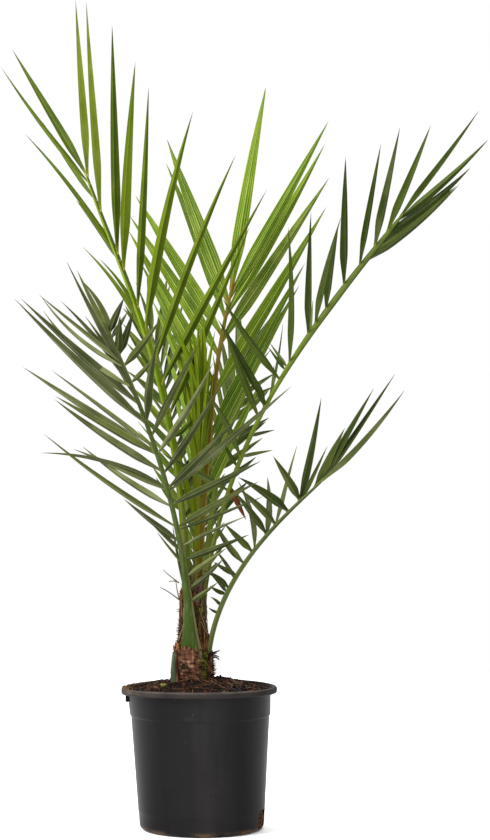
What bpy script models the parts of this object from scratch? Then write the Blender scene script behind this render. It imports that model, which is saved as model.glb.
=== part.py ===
"""Young Canary Island date palm in a round nursery pot.

Metres, +Z up, the pot's flat underside on Z = 0 with its centre at the origin.  +X runs
across the plant's broad side and +Y runs away from its front.  The pot is turned, the
compost fills it, the trunk is one tapering tube, and every frond is a tapering rib whose
two rows of leaflets are fused to it.
"""

import math
import random
from collections import namedtuple

import bmesh
import bpy
from mathutils import Matrix, Vector
from mathutils.bvhtree import BVHTree

MM = 0.001
GAP = 0.3 * MM              # clearance between pieces that touch
MERGE = 0.01 * MM           # welding distance for turned and tubular pieces

# Pot: a 21 cm nursery container
RIM_RADIUS = 105.5 * MM
RIM_TOP = 195 * MM
LIP_HEIGHT = 8 * MM
COLLAR_RADIUS = 97 * MM     # just under the lip
COLLAR_FOOT = 159 * MM      # height of the step below the collar
STEP_DEPTH = 1.6 * MM
BASE_RADIUS = 82 * MM
BASE_ROUNDING = 8 * MM
POT_WALL = 2.2 * MM
POT_STEPS = 48
SHOULDER_RADIUS = COLLAR_RADIUS - 1.5 * MM      # the collar narrows to this at the step

# Compost: fills the pot and is mounded round the trunk
SEAT_RADIUS = 44 * MM       # flat seat under the trunk
SEAT_HEIGHT = 206 * MM
COMPOST_EDGE = 193 * MM

# Trunk: its foot is a flat cut on the compost
TRUNK_AXIS = Vector((-5 * MM, 0, 0))
TRUNK_LEAN = Vector((-1 * MM, 0, 0))     # how far the tip stands off the foot
TRUNK_TOP = 352 * MM
TRUNK_SHAPE = (             # share of the height, radius in mm
    (0.00, 25.5), (0.07, 27.0), (0.18, 25.0), (0.30, 20.5),
    (0.45, 18.0), (0.70, 17.5), (0.90, 17.0), (1.00, 16.0),
)

# Leaflet rows: each row's sizes are given at these shares of the leafy length of the rib
STATIONS = (0.0, 0.2, 0.45, 0.7, 1.0)
LEAFLET_DEPTH = 0.011       # keel depth as a share of the leaflet's length
BROAD_SHARE = 0.35          # how far a leaflet turns its face square to the broad plane
LEAFLET_BOW = 0.035         # how far a leaflet bows forward, as a share of its length
RIB_END = 0.985             # share of the rib where the last leaflets stand
LEAFLET_MARGIN = 0.5 * MM   # room kept round a leaflet when it is tested against others
LEAFLET_RINGS = ((0.0, 0.34), (0.28, 1.0), (0.68, 0.72))    # share of its length, of its width
SLIPS = (                   # turns in degrees that a crowded leaflet tries, spread then lean
    (0, 0), (0, 7), (0, -7), (7, 0), (-7, 0), (6, 12), (-6, -12), (10, -8), (-10, 8),
)

# Ribs
RIB_PIECES = 14
RIB_TIP = 1.3               # radius at the tip, mm
FOOT_FADE = 0.10            # share of the rib over which the swollen foot dies away

Row = namedtuple("Row", "count spread lean length")
Frond = namedtuple("Frond", "name turn rib foot petiole first width left right end colour seed")

# turn: bearing of the frond's broad plane in degrees.  rib: foot, two handles and tip in mm.
# foot, petiole: radius at the foot and along the petiole in mm.  first: share of the rib
# where leaflets begin.  width: widest leaflet in mm.  Rows: spread is the angle from the
# rib in the broad plane in degrees, lean the angle away from that plane (minus: towards
# the front), length in mm.  end: spread, lean and length of the leaflet at the rib's tip.
FRONDS = (
    Frond("frond_low_left", 0,
          ((-11, -12, 228), (-9, -48, 430), (-81, -97, 589), (-122, -130, 681)),
          13, 4.6, 0.14, 10,
          Row(19, (45, 60, 40, 34, 8), (20, 25, 25, 20, 20), (60, 190, 215, 195, 90)),
          Row(19, (60, 66, 46, 44, 40), (-40, -50, -50, -45, -30), (60, 150, 200, 120, 50)),
          (-20, 20, 80), (0.23, 0.31, 0.18), 11),
    Frond("frond_tall_left", 0,
          ((-19, -4, 300), (-13, -16, 591), (-108, 62, 748), (-161, 130, 898)),
          6, 4.6, 0.36, 11,
          Row(9, (30, 28, 18, 22, 16), (60, 58, 56, 46, 30), (60, 130, 190, 245, 245)),
          Row(12, (57, 42, 28, 21, 15), (12, 10, 6, 5, 5), (100, 290, 305, 305, 266)),
          (-13, 20, 235), (0.26, 0.38, 0.10), 12),
    Frond("frond_high_right", 0,
          ((9, -4, 300), (24, -20, 522), (143, 1, 672), (276, 60, 833)),
          6, 4.4, 0.22, 10,
          Row(17, (80, 58, 42, 35, 6), (-25, -30, -30, -28, -10), (100, 125, 185, 190, 182)),
          Row(14, (55, 40, 8, 12, 9), (62, 62, 55, 38, 10), (110, 140, 170, 190, 182)),
          (2, 0, 175), (0.22, 0.30, 0.13), 13),
    Frond("frond_low_right", 0,
          ((10, -4, 215), (14, -6, 332), (93, -40, 411), (163, -100, 473)),
          6.5, 3.4, 0.25, 8,
          Row(14, (78, 80, 66, 56, 8), (-20, -30, -30, -28, -10), (25, 60, 95, 125, 150)),
          Row(12, (-40, -45, -35, -12, -8), (50, 52, 50, 40, 15), (30, 70, 110, 140, 175)),
          (-4, 0, 175), (0.20, 0.27, 0.12), 14),
    Frond("frond_young_centre", 0,
          ((-2, 9.5, 305), (16, 20, 639), (30, 57, 663), (45, 70, 744)),
          5.5, 4.6, 0.40, 15,
          Row(14, (28, 30, 37, 43, 16), (50, 45, 38, 34, 36), (180, 220, 270, 275, 250)),
          Row(14, (33, 26, 35, 33, 2), (50, 44, 46, 32, 16), (180, 230, 250, 275, 280)),
          (-2, 10, 282), (0.42, 0.52, 0.08), 15),
    Frond("frond_spear", 0,
          ((-6, -1, 300), (-3, 2, 430), (0, 10, 530), (6, 16, 600)),
          5, 4.8, 0.45, 11,
          Row(5, (7, 8, 9, 9, 6), (4, 4, 2, 2, 2), (120, 150, 150, 140, 110)),
          Row(5, (7, 8, 9, 9, 2), (8, 8, 4, 4, 4), (120, 150, 150, 140, 110)),
          (0, 0, 110), (0.44, 0.46, 0.10), 16),
    Frond("frond_back_left", 24,
          ((-10, 9, 262), (-18, 28, 430), (-45, 120, 590), (-76, 235, 684)),
          6, 4.2, 0.30, 10,
          Row(14, (45, 38, 30, 26, 12), (56, 58, 56, 52, 48), (90, 180, 210, 200, 150)),
          Row(14, (50, 44, 36, 30, 12), (30, 34, 38, 42, 44), (90, 180, 220, 210, 150)),
          (0, 44, 140), (0.24, 0.34, 0.14), 17),
    Frond("frond_back_right", -26,
          ((2, 10, 262), (10, 30, 420), (34, 120, 560), (60, 225, 640)),
          6, 4.2, 0.30, 10,
          Row(14, (50, 44, 36, 30, 14), (36, 38, 40, 44, 46), (90, 170, 210, 195, 150)),
          Row(14, (40, 32, 26, 20, 10), (60, 60, 56, 50, 46), (90, 170, 200, 195, 150)),
          (0, 44, 140), (0.24, 0.35, 0.13), 18),
    Frond("frond_back_low", 0,
          ((-5, 10, 240), (-6, 50, 330), (-10, 150, 430), (0, 250, 470)),
          6.5, 3.8, 0.28, 9,
          Row(13, (50, 42, 35, 30, 12), (52, 60, 62, 60, 55), (60, 120, 160, 160, 120)),
          Row(13, (50, 42, 35, 30, 12), (52, 60, 62, 60, 55), (60, 120, 160, 160, 120)),
          (0, 58, 120), (0.20, 0.29, 0.13), 19),
)

# Cut base of an old leaf, standing against the trunk's left foot
STUB_FOOT = Vector((-33 * MM, -9 * MM, SEAT_HEIGHT + GAP))
STUB_TOP = Vector((-28 * MM, -9 * MM, 243 * MM))
STUB_RADIUS = 7 * MM


def material(name, colour, roughness):
    """A Principled material of one colour."""
    made = bpy.data.materials.new(name)
    made.use_nodes = True
    shader = made.node_tree.nodes["Principled BSDF"]
    shader.inputs["Base Color"].default_value = (*colour, 1)
    shader.inputs["Roughness"].default_value = roughness
    shader.inputs["Metallic"].default_value = 0
    return made


def link(name, mesh, collection):
    """An object of this mesh in this collection."""
    made = bpy.data.objects.new(name, mesh)
    collection.objects.link(made)
    return made


def smooth(piece):
    """Smooth shading with the corners kept sharp."""
    piece.data.shade_smooth()
    piece.data.set_sharp_from_angle(angle=math.radians(40))


def turned(name, profile, steps, collection):
    """A closed solid turned about the Z axis from a profile that runs down its outer side."""
    mesh = bpy.data.meshes.new(name)
    edges = [(i, i + 1) for i in range(len(profile) - 1)]
    mesh.from_pydata([(radius, 0, height) for radius, height in profile], edges, [])
    piece = link(name, mesh, collection)
    screw = piece.modifiers.new("Turn", "SCREW")
    screw.steps = steps
    screw.render_steps = steps
    screw.use_merge_vertices = True
    screw.merge_threshold = MERGE
    return piece


def tube(name, points, radii, rings, collection):
    """A tapering tube with filled caps, made a mesh, along points of varying radius."""
    curve = bpy.data.curves.new(name, "CURVE")
    curve.dimensions = "3D"
    curve.twist_mode = "MINIMUM"
    curve.bevel_depth = 1
    curve.bevel_resolution = rings
    curve.use_fill_caps = True
    line = curve.splines.new("POLY")
    line.points.add(len(points) - 1)
    for spot, point, radius in zip(line.points, points, radii):
        spot.co = (*point, 1)
        spot.radius = radius
    drawn = link(name + "_line", curve, collection)
    return baked(drawn, name, collection)


def baked(source, name, collection):
    """Replace an object by the mesh that it evaluates to, with doubled points welded."""
    depsgraph = bpy.context.evaluated_depsgraph_get()
    mesh = bpy.data.meshes.new_from_object(source.evaluated_get(depsgraph))
    shape = bmesh.new()
    shape.from_mesh(mesh)
    bmesh.ops.remove_doubles(shape, verts=shape.verts, dist=MERGE)
    bmesh.ops.recalc_face_normals(shape, faces=shape.faces)
    shape.to_mesh(mesh)
    shape.free()
    piece = link(name, mesh, collection)
    piece.matrix_world = source.matrix_world
    bpy.data.objects.remove(source)
    piece.name = name
    return piece


def boolean(piece, operation, operand=None, group=None):
    """Add an exact Boolean of one object, or of a whole collection."""
    step = piece.modifiers.new(operation.title(), "BOOLEAN")
    step.operation = operation
    step.solver = "EXACT"
    if group:
        step.operand_type = "COLLECTION"
        step.collection = group
    else:
        step.object = operand


def bezier(points, share):
    """Point on the cubic curve through foot, two handles and tip."""
    rest = 1 - share
    weights = (rest ** 3, 3 * rest ** 2 * share, 3 * rest * share ** 2, share ** 3)
    return sum((point * weight for point, weight in zip(points, weights)), Vector())


def bezier_heading(points, share):
    """Unit direction of the same curve."""
    rest = 1 - share
    weights = (3 * rest ** 2, 6 * rest * share, 3 * share ** 2)
    steps = (points[i + 1] - points[i] for i in range(3))
    return sum((step * weight for step, weight in zip(steps, weights)), Vector()).normalized()


def at_station(sizes, share):
    """A row's size at a share of the leafy length, between its named stations."""
    for index in range(len(STATIONS) - 1):
        start, end = STATIONS[index], STATIONS[index + 1]
        if share <= end:
            part = (share - start) / (end - start)
            return sizes[index] + (sizes[index + 1] - sizes[index]) * part
    return sizes[-1]


def rib_points(frond):
    """A frond's foot, handles and tip in metres."""
    return [Vector(point) * MM for point in frond.rib]


def rib_radius(frond, share):
    """Radius of a rib: swollen at the foot, even along the petiole, fine at the tip."""
    even = RIB_TIP + (frond.petiole - RIB_TIP) * (1 - share) ** 0.8
    swell = (frond.foot - even) * math.exp(-share / FOOT_FADE)
    return (even + max(swell, 0)) * MM


def rib(frond, collection):
    """The petiole and rib of a frond as a tapering tube of six sides."""
    points = rib_points(frond)
    shares = [step / RIB_PIECES for step in range(RIB_PIECES + 1)]
    line = [bezier(points, share) for share in shares]
    radii = [rib_radius(frond, share) for share in shares]
    return tube(frond.name, line, radii, 1, collection)


def leaflet(root, heading, side, length, width, margin=0.0):
    """A leaflet's mesh: a keeled blade of three sides from a narrow base to a point."""
    face = heading.cross(side)
    keel = length * LEAFLET_DEPTH + margin
    shape = bmesh.new()
    sections = []
    for share, part in LEAFLET_RINGS:
        bow = side * (length * LEAFLET_BOW * 4 * share * (1 - share))
        centre = root + heading * (length * share) - bow
        half = side * (width * part / 2 + margin)
        corners = (centre - half + face * margin, centre + half + face * margin, centre - face * keel)
        sections.append([shape.verts.new(corner) for corner in corners])
    tip = shape.verts.new(root + heading * (length + margin))
    shape.faces.new(sections[0])
    for near, far in zip(sections, sections[1:]):
        for index in range(3):
            after = (index + 1) % 3
            shape.faces.new((near[index], near[after], far[after], far[index]))
    for index in range(3):
        shape.faces.new((sections[-1][index], sections[-1][(index + 1) % 3], tip))
    bmesh.ops.recalc_face_normals(shape, faces=shape.faces)
    return shape


def leaflet_places(frond):
    """Each leaflet of a frond by rule: root, rib's heading, angle, lean, length and width."""
    chance = random.Random(frond.seed)
    back = Matrix.Rotation(math.radians(-frond.turn), 3, "Z")
    points = rib_points(frond)

    def place(along, spread, lean, length):
        rib_heading = bezier_heading(points, along)
        flat = back @ rib_heading
        angle = math.degrees(math.atan2(flat.x, flat.z)) + spread
        width = frond.width * MM * min(1, 0.45 + length / 250) * chance.uniform(0.9, 1.08)
        return bezier(points, along), rib_heading, angle, lean, length * MM, width

    yield place(RIB_END, *frond.end)
    for row, sign in ((frond.left, -1), (frond.right, 1)):
        for number in range(row.count):
            share = (number + 0.5 + chance.uniform(-0.25, 0.25)) / row.count
            along = frond.first + (RIB_END - frond.first) * share
            spread = sign * (at_station(row.spread, share) + chance.uniform(-3, 3))
            lean = at_station(row.lean, share) + chance.uniform(-4, 4)
            yield place(along, spread, lean, at_station(row.length, share) * chance.uniform(0.93, 1.05))


def leaflet_heading(turn, angle, lean):
    """Unit heading from its angle in the broad plane and its lean out of it."""
    angle, lean = math.radians(angle), math.radians(lean)
    flat = Vector((math.sin(angle) * math.cos(lean), math.sin(lean), math.cos(angle) * math.cos(lean)))
    return turn @ flat


def leaflet_side(heading, rib_heading, turn, angle):
    """Unit direction across a leaflet: part along the rib, part in the broad plane."""
    angle = math.radians(angle)
    broad = turn @ Vector((math.cos(angle), 0, -math.sin(angle)))
    along_rib = rib_heading - heading * rib_heading.dot(heading)
    if along_rib.dot(broad) < 0:
        broad.negate()
    return (along_rib + broad * BROAD_SHARE).normalized()


def skin(shape):
    """A search tree of a bmesh's faces."""
    return BVHTree.FromBMesh(shape)


def grow_leaflets(frond, group, others):
    """Fill the group with the frond's leaflets; one that would touch another piece slips
    aside, and is skipped where it still touches."""
    turn = Matrix.Rotation(math.radians(frond.turn), 3, "Z")
    grown = []
    for root, rib_heading, angle, lean, length, width in leaflet_places(frond):
        for turn_by, lean_by in SLIPS:
            heading = leaflet_heading(turn, angle + turn_by, lean + lean_by)
            side = leaflet_side(heading, rib_heading, turn, angle + turn_by)
            trial = leaflet(root, heading, side, length, width, LEAFLET_MARGIN)
            trial_skin = skin(trial)
            trial.free()
            if any(trial_skin.overlap(other) for other in others):
                continue
            shape = leaflet(root, heading, side, length, width)
            mesh = bpy.data.meshes.new(frond.name + "_leaflet")
            shape.to_mesh(mesh)
            grown.append(skin(shape))
            shape.free()
            link(frond.name + "_leaflet", mesh, group)
            break
    return grown


def mesh_skin(piece):
    """A search tree of an object's faces."""
    shape = bmesh.new()
    shape.from_mesh(piece.data)
    found = skin(shape)
    shape.free()
    return found


def island(start):
    """The faces joined to this one."""
    found = {start}
    waiting = [start]
    while waiting:
        for edge in waiting.pop().edges:
            for face in edge.link_faces:
                if face not in found:
                    found.add(face)
                    waiting.append(face)
    return found


def signed_volume(faces):
    """Volume that these faces close, less than zero where they line a hollow."""
    total = 0
    for face in faces:
        corners = [vertex.co for vertex in face.verts]
        for second, third in zip(corners[1:], corners[2:]):
            total += corners[0].dot(second.cross(third)) / 6
    return total


def keep_one_body(piece):
    """Fill the sealed hollows of a fused piece and drop its loose scraps."""
    shape = bmesh.new()
    shape.from_mesh(piece.data)
    left = set(shape.faces)
    islands = []
    while left:
        found = island(next(iter(left)))
        islands.append(found)
        left -= found
    islands.sort(key=signed_volume)
    spare = [face for found in islands[:-1] for face in found]
    bmesh.ops.delete(shape, geom=spare, context="FACES")
    shape.to_mesh(piece.data)
    shape.free()


def empty_group(group):
    """Remove a collection and its objects."""
    for member in list(group.objects):
        bpy.data.objects.remove(member)
    bpy.data.collections.remove(group)


def pot(collection):
    """The thin-walled pot with its rolled lip, collar, step and rounded foot."""
    rounding = [
        (
            BASE_RADIUS - BASE_ROUNDING + BASE_ROUNDING * math.cos(turn * math.pi / 8),
            BASE_ROUNDING - BASE_ROUNDING * math.sin(turn * math.pi / 8),
        )
        for turn in range(5)
    ]
    outside = [
        (RIM_RADIUS - 4 * MM, RIM_TOP),
        (RIM_RADIUS - 1 * MM, RIM_TOP - 0.5 * MM),
        (RIM_RADIUS, RIM_TOP - 2.5 * MM),
        (RIM_RADIUS - 0.5 * MM, RIM_TOP - LIP_HEIGHT),
        (COLLAR_RADIUS, RIM_TOP - LIP_HEIGHT - 0.8 * MM),
        (SHOULDER_RADIUS, COLLAR_FOOT),
        (SHOULDER_RADIUS - STEP_DEPTH, COLLAR_FOOT - 1.5 * MM),
    ]
    inside = [
        (0, 0),
        (0, POT_WALL),
        (BASE_RADIUS - BASE_ROUNDING, POT_WALL),
        (BASE_RADIUS - POT_WALL, BASE_ROUNDING + POT_WALL),
        (SHOULDER_RADIUS - STEP_DEPTH - POT_WALL, COLLAR_FOOT),
        (COLLAR_RADIUS - POT_WALL, RIM_TOP - LIP_HEIGHT),
        (RIM_RADIUS - 6.5 * MM, RIM_TOP - 1 * MM),
        (RIM_RADIUS - 4 * MM, RIM_TOP),
    ]
    piece = turned("pot", outside + rounding + inside, POT_STEPS, collection)
    piece.data.materials.append(material("black_plastic", (0.028, 0.029, 0.031), 0.5))
    return piece


def compost(collection):
    """The compost that fills the pot, mounded to a flat seat under the trunk."""
    wall = POT_WALL + GAP
    profile = [
        (0, SEAT_HEIGHT),
        (SEAT_RADIUS, SEAT_HEIGHT),
        (SEAT_RADIUS + 14 * MM, SEAT_HEIGHT - 3 * MM),
        (RIM_RADIUS - 24 * MM, COMPOST_EDGE + 5 * MM),
        (RIM_RADIUS - 13 * MM, COMPOST_EDGE),
        (COLLAR_RADIUS - wall - 0.5 * MM, RIM_TOP - LIP_HEIGHT - 1 * MM),
        (SHOULDER_RADIUS - STEP_DEPTH - wall - 0.2 * MM, COLLAR_FOOT),
        (BASE_RADIUS - wall - 0.2 * MM, BASE_ROUNDING + wall),
        (BASE_RADIUS - BASE_ROUNDING - GAP, wall),
        (0, wall),
    ]
    piece = turned("compost", profile, POT_STEPS, collection)
    piece.data.materials.append(material("compost", (0.06, 0.03, 0.018), 0.95))
    return piece


def trunk(name, grown_by, collection):
    """The trunk from its flat cut to its tip; grown_by makes the fatter copy that cuts."""
    height = TRUNK_TOP - SEAT_HEIGHT - GAP
    start = SEAT_HEIGHT + GAP
    points = []
    radii = []
    for share, radius in TRUNK_SHAPE:
        level = start + height * share
        points.append(TRUNK_AXIS + TRUNK_LEAN * share ** 2 + Vector((0, 0, level)))
        radii.append(radius * MM + grown_by)
    points[0].z -= grown_by
    points[-1].z += grown_by
    return tube(name, points, radii, 6, collection)


def leaf_stub(cutter, collection):
    """The cut base of an old leaf, hollowed to the trunk's side by the cutter."""
    straight = STUB_FOOT + Vector((0, 0, 12 * MM))
    points = (STUB_FOOT, straight, STUB_TOP)
    piece = tube("leaf_stub", points, (STUB_RADIUS, STUB_RADIUS * 0.95, STUB_RADIUS * 0.6), 2, collection)
    boolean(piece, "DIFFERENCE", operand=cutter)
    piece.data.materials.append(material("old_leaf_base", (0.16, 0.20, 0.11), 0.7))
    return piece


def frond_piece(frond, shaft, cutter, others, collection, scene_root):
    """One frond: its rib with the leaflets fused on, cut clear of the trunk."""
    group = bpy.data.collections.new(frond.name + "_leaflets")
    scene_root.children.link(group)
    grown = grow_leaflets(frond, group, others)
    boolean(shaft, "UNION", group=group)
    boolean(shaft, "DIFFERENCE", operand=cutter)
    bpy.context.view_layer.update()
    piece = baked(shaft, frond.name, collection)
    keep_one_body(piece)
    empty_group(group)
    piece.data.materials.clear()
    piece.data.materials.append(material(frond.name + "_green", frond.colour, 0.55))
    return piece, grown


def build():
    """Make every piece."""
    for item in list(bpy.data.objects):
        bpy.data.objects.remove(item)
    root = bpy.context.scene.collection
    parts = bpy.data.collections.new("potted_palm")
    cutters = bpy.data.collections.new("cutters")
    root.children.link(parts)
    root.children.link(cutters)

    smooth_pieces = [pot(parts), compost(parts)]
    shaft = trunk("trunk", 0, parts)
    shaft.data.materials.append(material("fibre", (0.13, 0.07, 0.035), 0.9))
    cutter = trunk("trunk_cutter", GAP, cutters)
    cutter.hide_render = True
    cutter.display_type = "WIRE"
    smooth_pieces += [shaft, leaf_stub(cutter, parts)]

    ribs = {frond.name: rib(frond, parts) for frond in FRONDS}
    rib_skins = {name: mesh_skin(piece) for name, piece in ribs.items()}
    taken = [mesh_skin(cutter), mesh_skin(smooth_pieces[-1])]
    for frond in FRONDS:
        others = taken + [found for name, found in rib_skins.items() if name != frond.name]
        piece, grown = frond_piece(frond, ribs[frond.name], cutter, others, parts, root)
        taken += grown
        smooth_pieces.append(piece)
    for piece in smooth_pieces:
        smooth(piece)


build()
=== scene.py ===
import math
import random
from collections import namedtuple

import bmesh
import bpy
from mathutils import Matrix, Vector, noise


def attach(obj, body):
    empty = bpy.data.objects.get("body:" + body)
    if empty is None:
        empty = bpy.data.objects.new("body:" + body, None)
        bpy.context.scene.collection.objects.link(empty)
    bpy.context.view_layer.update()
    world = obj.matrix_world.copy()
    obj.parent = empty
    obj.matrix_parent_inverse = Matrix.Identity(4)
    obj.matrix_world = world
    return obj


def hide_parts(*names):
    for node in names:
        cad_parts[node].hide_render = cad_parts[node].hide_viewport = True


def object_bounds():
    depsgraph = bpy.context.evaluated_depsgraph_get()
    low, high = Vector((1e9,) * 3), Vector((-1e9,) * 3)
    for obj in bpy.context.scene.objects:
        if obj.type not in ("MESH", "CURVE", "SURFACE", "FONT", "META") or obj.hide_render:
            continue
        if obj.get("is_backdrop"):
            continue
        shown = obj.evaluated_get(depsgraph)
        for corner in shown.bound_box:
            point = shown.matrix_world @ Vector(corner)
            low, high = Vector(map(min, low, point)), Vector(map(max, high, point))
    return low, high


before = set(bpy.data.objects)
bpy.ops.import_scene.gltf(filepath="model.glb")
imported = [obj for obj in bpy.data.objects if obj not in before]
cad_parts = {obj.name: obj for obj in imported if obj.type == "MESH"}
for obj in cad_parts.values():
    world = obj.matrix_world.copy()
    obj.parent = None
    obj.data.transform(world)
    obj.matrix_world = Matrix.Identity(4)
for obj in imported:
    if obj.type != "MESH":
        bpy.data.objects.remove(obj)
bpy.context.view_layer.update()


# ---------------------------------------------------------------------------------------
# Pot: a round nursery container of about five litres, injection-moulded in black
# polypropylene.  It has a thin drawn wall, a turned-over lip, a stacking collar, a lug
# under the lip and two drain slots cut through the corner of its foot.

MM = 0.001

RIM_RADIUS, RIM_TOP, LIP_HEIGHT = 105.5 * MM, 195 * MM, 8 * MM
COLLAR_RADIUS, COLLAR_FOOT, SHOULDER_RADIUS = 97 * MM, 155 * MM, 95.3 * MM
STEP_DEPTH, BASE_RADIUS, BASE_ROUNDING, POT_WALL = 1.6 * MM, 84.3 * MM, 8 * MM, 2.2 * MM
CREASE_HEIGHT = 25 * MM
SLOT_BEARINGS = (-14, 166)          # degrees from +X, seen from above
SLOT_SIZE = (22 * MM, 34 * MM, 25 * MM)
SLOT_MIDDLE = 16 * MM
LUG_BEARING, LUG_SIZE = 188, (5 * MM, 5 * MM, 11 * MM)
SAG_BEHIND, SAG_LEFT = 3.2 * MM, 1.4 * MM           # how far the lip hangs at these sides
FOOT_ASIDE, COLLAR_ASIDE = 3.5 * MM, 1.4 * MM       # how far the worn pot stands to +X
POT_STEPS, POT_CREASE = 144, 32     # faces round the pot, and the bend in degrees that stays sharp
LAMP = 2.6                          # how bright the light is that colours are read under


class Shade:
    """A value that changes over a surface; sums and products of it add Math nodes."""

    def __init__(self, finish, socket):
        self.finish = finish
        self.socket = socket

    def of(self, output):
        """Another output of the same node."""
        return Shade(self.finish, self.socket.node.outputs[output])

    def maths(self, operation, first, second):
        return self.finish.node("ShaderNodeMath", {"operation": operation}, {0: first, 1: second})

    def rise(self, low, high):
        """Nothing below low, everything above high, and a smooth step between."""
        settings = {"interpolation_type": "SMOOTHSTEP"}
        return self.finish.node(
            "ShaderNodeMapRange", settings, {"Value": self, "From Min": low, "From Max": high}
        )

    def __add__(self, other):
        return self.maths("ADD", self, other)

    def __radd__(self, other):
        return self.maths("ADD", other, self)

    def __sub__(self, other):
        return self.maths("SUBTRACT", self, other)

    def __rsub__(self, other):
        return self.maths("SUBTRACT", other, self)

    def __mul__(self, other):
        return self.maths("MULTIPLY", self, other)

    def __rmul__(self, other):
        return self.maths("MULTIPLY", other, self)

    def __abs__(self):
        return self.maths("ABSOLUTE", self, 0)


class Finish:
    """A surface finish: one Principled shader and the nodes that feed it."""

    def __init__(self, name, even):
        self.material = bpy.data.materials.new(name)
        self.material.use_nodes = True
        self.tree = self.material.node_tree
        self.shader = self.tree.nodes["Principled BSDF"]
        for socket, value in even.items():
            self.shader.inputs[socket].default_value = value

    def node(self, kind, settings, inputs, output=0):
        """A node of this kind with its settings, and a value or a link at each socket."""
        made = self.tree.nodes.new(kind)
        for setting, value in settings.items():
            setattr(made, setting, value)
        for socket, value in inputs.items():
            if isinstance(value, Shade):
                self.tree.links.new(value.socket, made.inputs[socket])
            elif isinstance(value, tuple) and made.inputs[socket].type == "RGBA":
                made.inputs[socket].default_value = (*value, 1)
            else:
                made.inputs[socket].default_value = value
        return Shade(self, made.outputs[output])

    def grain(self, scale, detail=3.0, stretch=(1, 1, 1)):
        """Cloudy noise in the object's own space, drawn out along an axis by stretch."""
        spot = self.node("ShaderNodeTexCoord", {}, {}, "Object")
        spot = self.node("ShaderNodeMapping", {}, {"Vector": spot, "Scale": stretch})
        return self.node("ShaderNodeTexNoise", {}, {"Vector": spot, "Scale": scale, "Detail": detail})

    def where(self):
        """The place in space, split into X, Y and Z in metres."""
        spot = self.node("ShaderNodeTexCoord", {}, {}, "Object")
        return self.node("ShaderNodeSeparateXYZ", {}, {0: spot})

    def kept(self, label):
        """The three numbers kept at each point of a piece under a label."""
        numbers = self.node("ShaderNodeAttribute", {"attribute_name": label}, {}, "Vector")
        return self.node("ShaderNodeSeparateXYZ", {}, {0: numbers})

    def mix(self, first, second, share):
        """One colour passing into another by a share."""
        return self.node(
            "ShaderNodeMix", {"data_type": "RGBA"}, {0: share, 6: first, 7: second}, 2
        )

    def coat(self, colour, roughness, relief=None, depth=0.0002, strength=0.5):
        """Feed the shader: colour, roughness and a height map."""
        self.tree.links.new(colour.socket, self.shader.inputs["Base Color"])
        self.tree.links.new(roughness.socket, self.shader.inputs["Roughness"])
        if relief is not None:
            bump = self.node(
                "ShaderNodeBump", {}, {"Height": relief, "Distance": depth, "Strength": strength}
            )
            self.tree.links.new(bump.socket, self.shader.inputs["Normal"])
        return self


def tint(red, green, blue):
    """Linear colour of a 0 to 255 colour-chart value that is read under the lamp."""
    return tuple(((value / 255 + 0.055) / 1.055) ** 2.4 / LAMP for value in (red, green, blue))


def mesh_of(name, shape):
    """A finished mesh of a shape that was worked on, smooth all over."""
    mesh = bpy.data.meshes.new(name)
    shape.to_mesh(mesh)
    shape.free()
    mesh.shade_smooth()
    return mesh


def fitted(name, mesh, finish):
    """A finished piece of this mesh, riding on the plant's one body."""
    piece = bpy.data.objects.new(name, mesh)
    bpy.context.scene.collection.objects.link(piece)
    mesh.materials.append(finish.material)
    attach(piece, "root")
    return piece


def turned(profile, steps):
    """A mesh turned about the pot's axis from a profile of radius and height."""
    shape = bmesh.new()
    corners = [shape.verts.new((radius, 0, height)) for radius, height in profile]
    lines = [shape.edges.new(pair) for pair in zip(corners, corners[1:])]
    bmesh.ops.spin(
        shape, geom=corners + lines, axis=(0, 0, 1), cent=(0, 0, 0), steps=steps, angle=math.tau
    )
    bmesh.ops.remove_doubles(shape, verts=shape.verts, dist=0.01 * MM)
    bmesh.ops.recalc_face_normals(shape, faces=shape.faces)
    return shape


def rounded_block(size, rounding):
    """A block with rounded edges, centred on the origin."""
    shape = bmesh.new()
    bmesh.ops.create_cube(shape, size=1, matrix=Matrix.Diagonal((*size, 1)))
    bmesh.ops.bevel(shape, geom=shape.edges, offset=rounding, segments=3, affect="EDGES", profile=0.5)
    return shape


def arc(radius, height, rounding, first, last, steps):
    """Points round a quarter bend whose centre is at this radius and height."""
    angles = (math.radians(first + (last - first) * step / steps) for step in range(steps + 1))
    return [(radius + rounding * math.cos(a), height + rounding * math.sin(a)) for a in angles]


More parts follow.
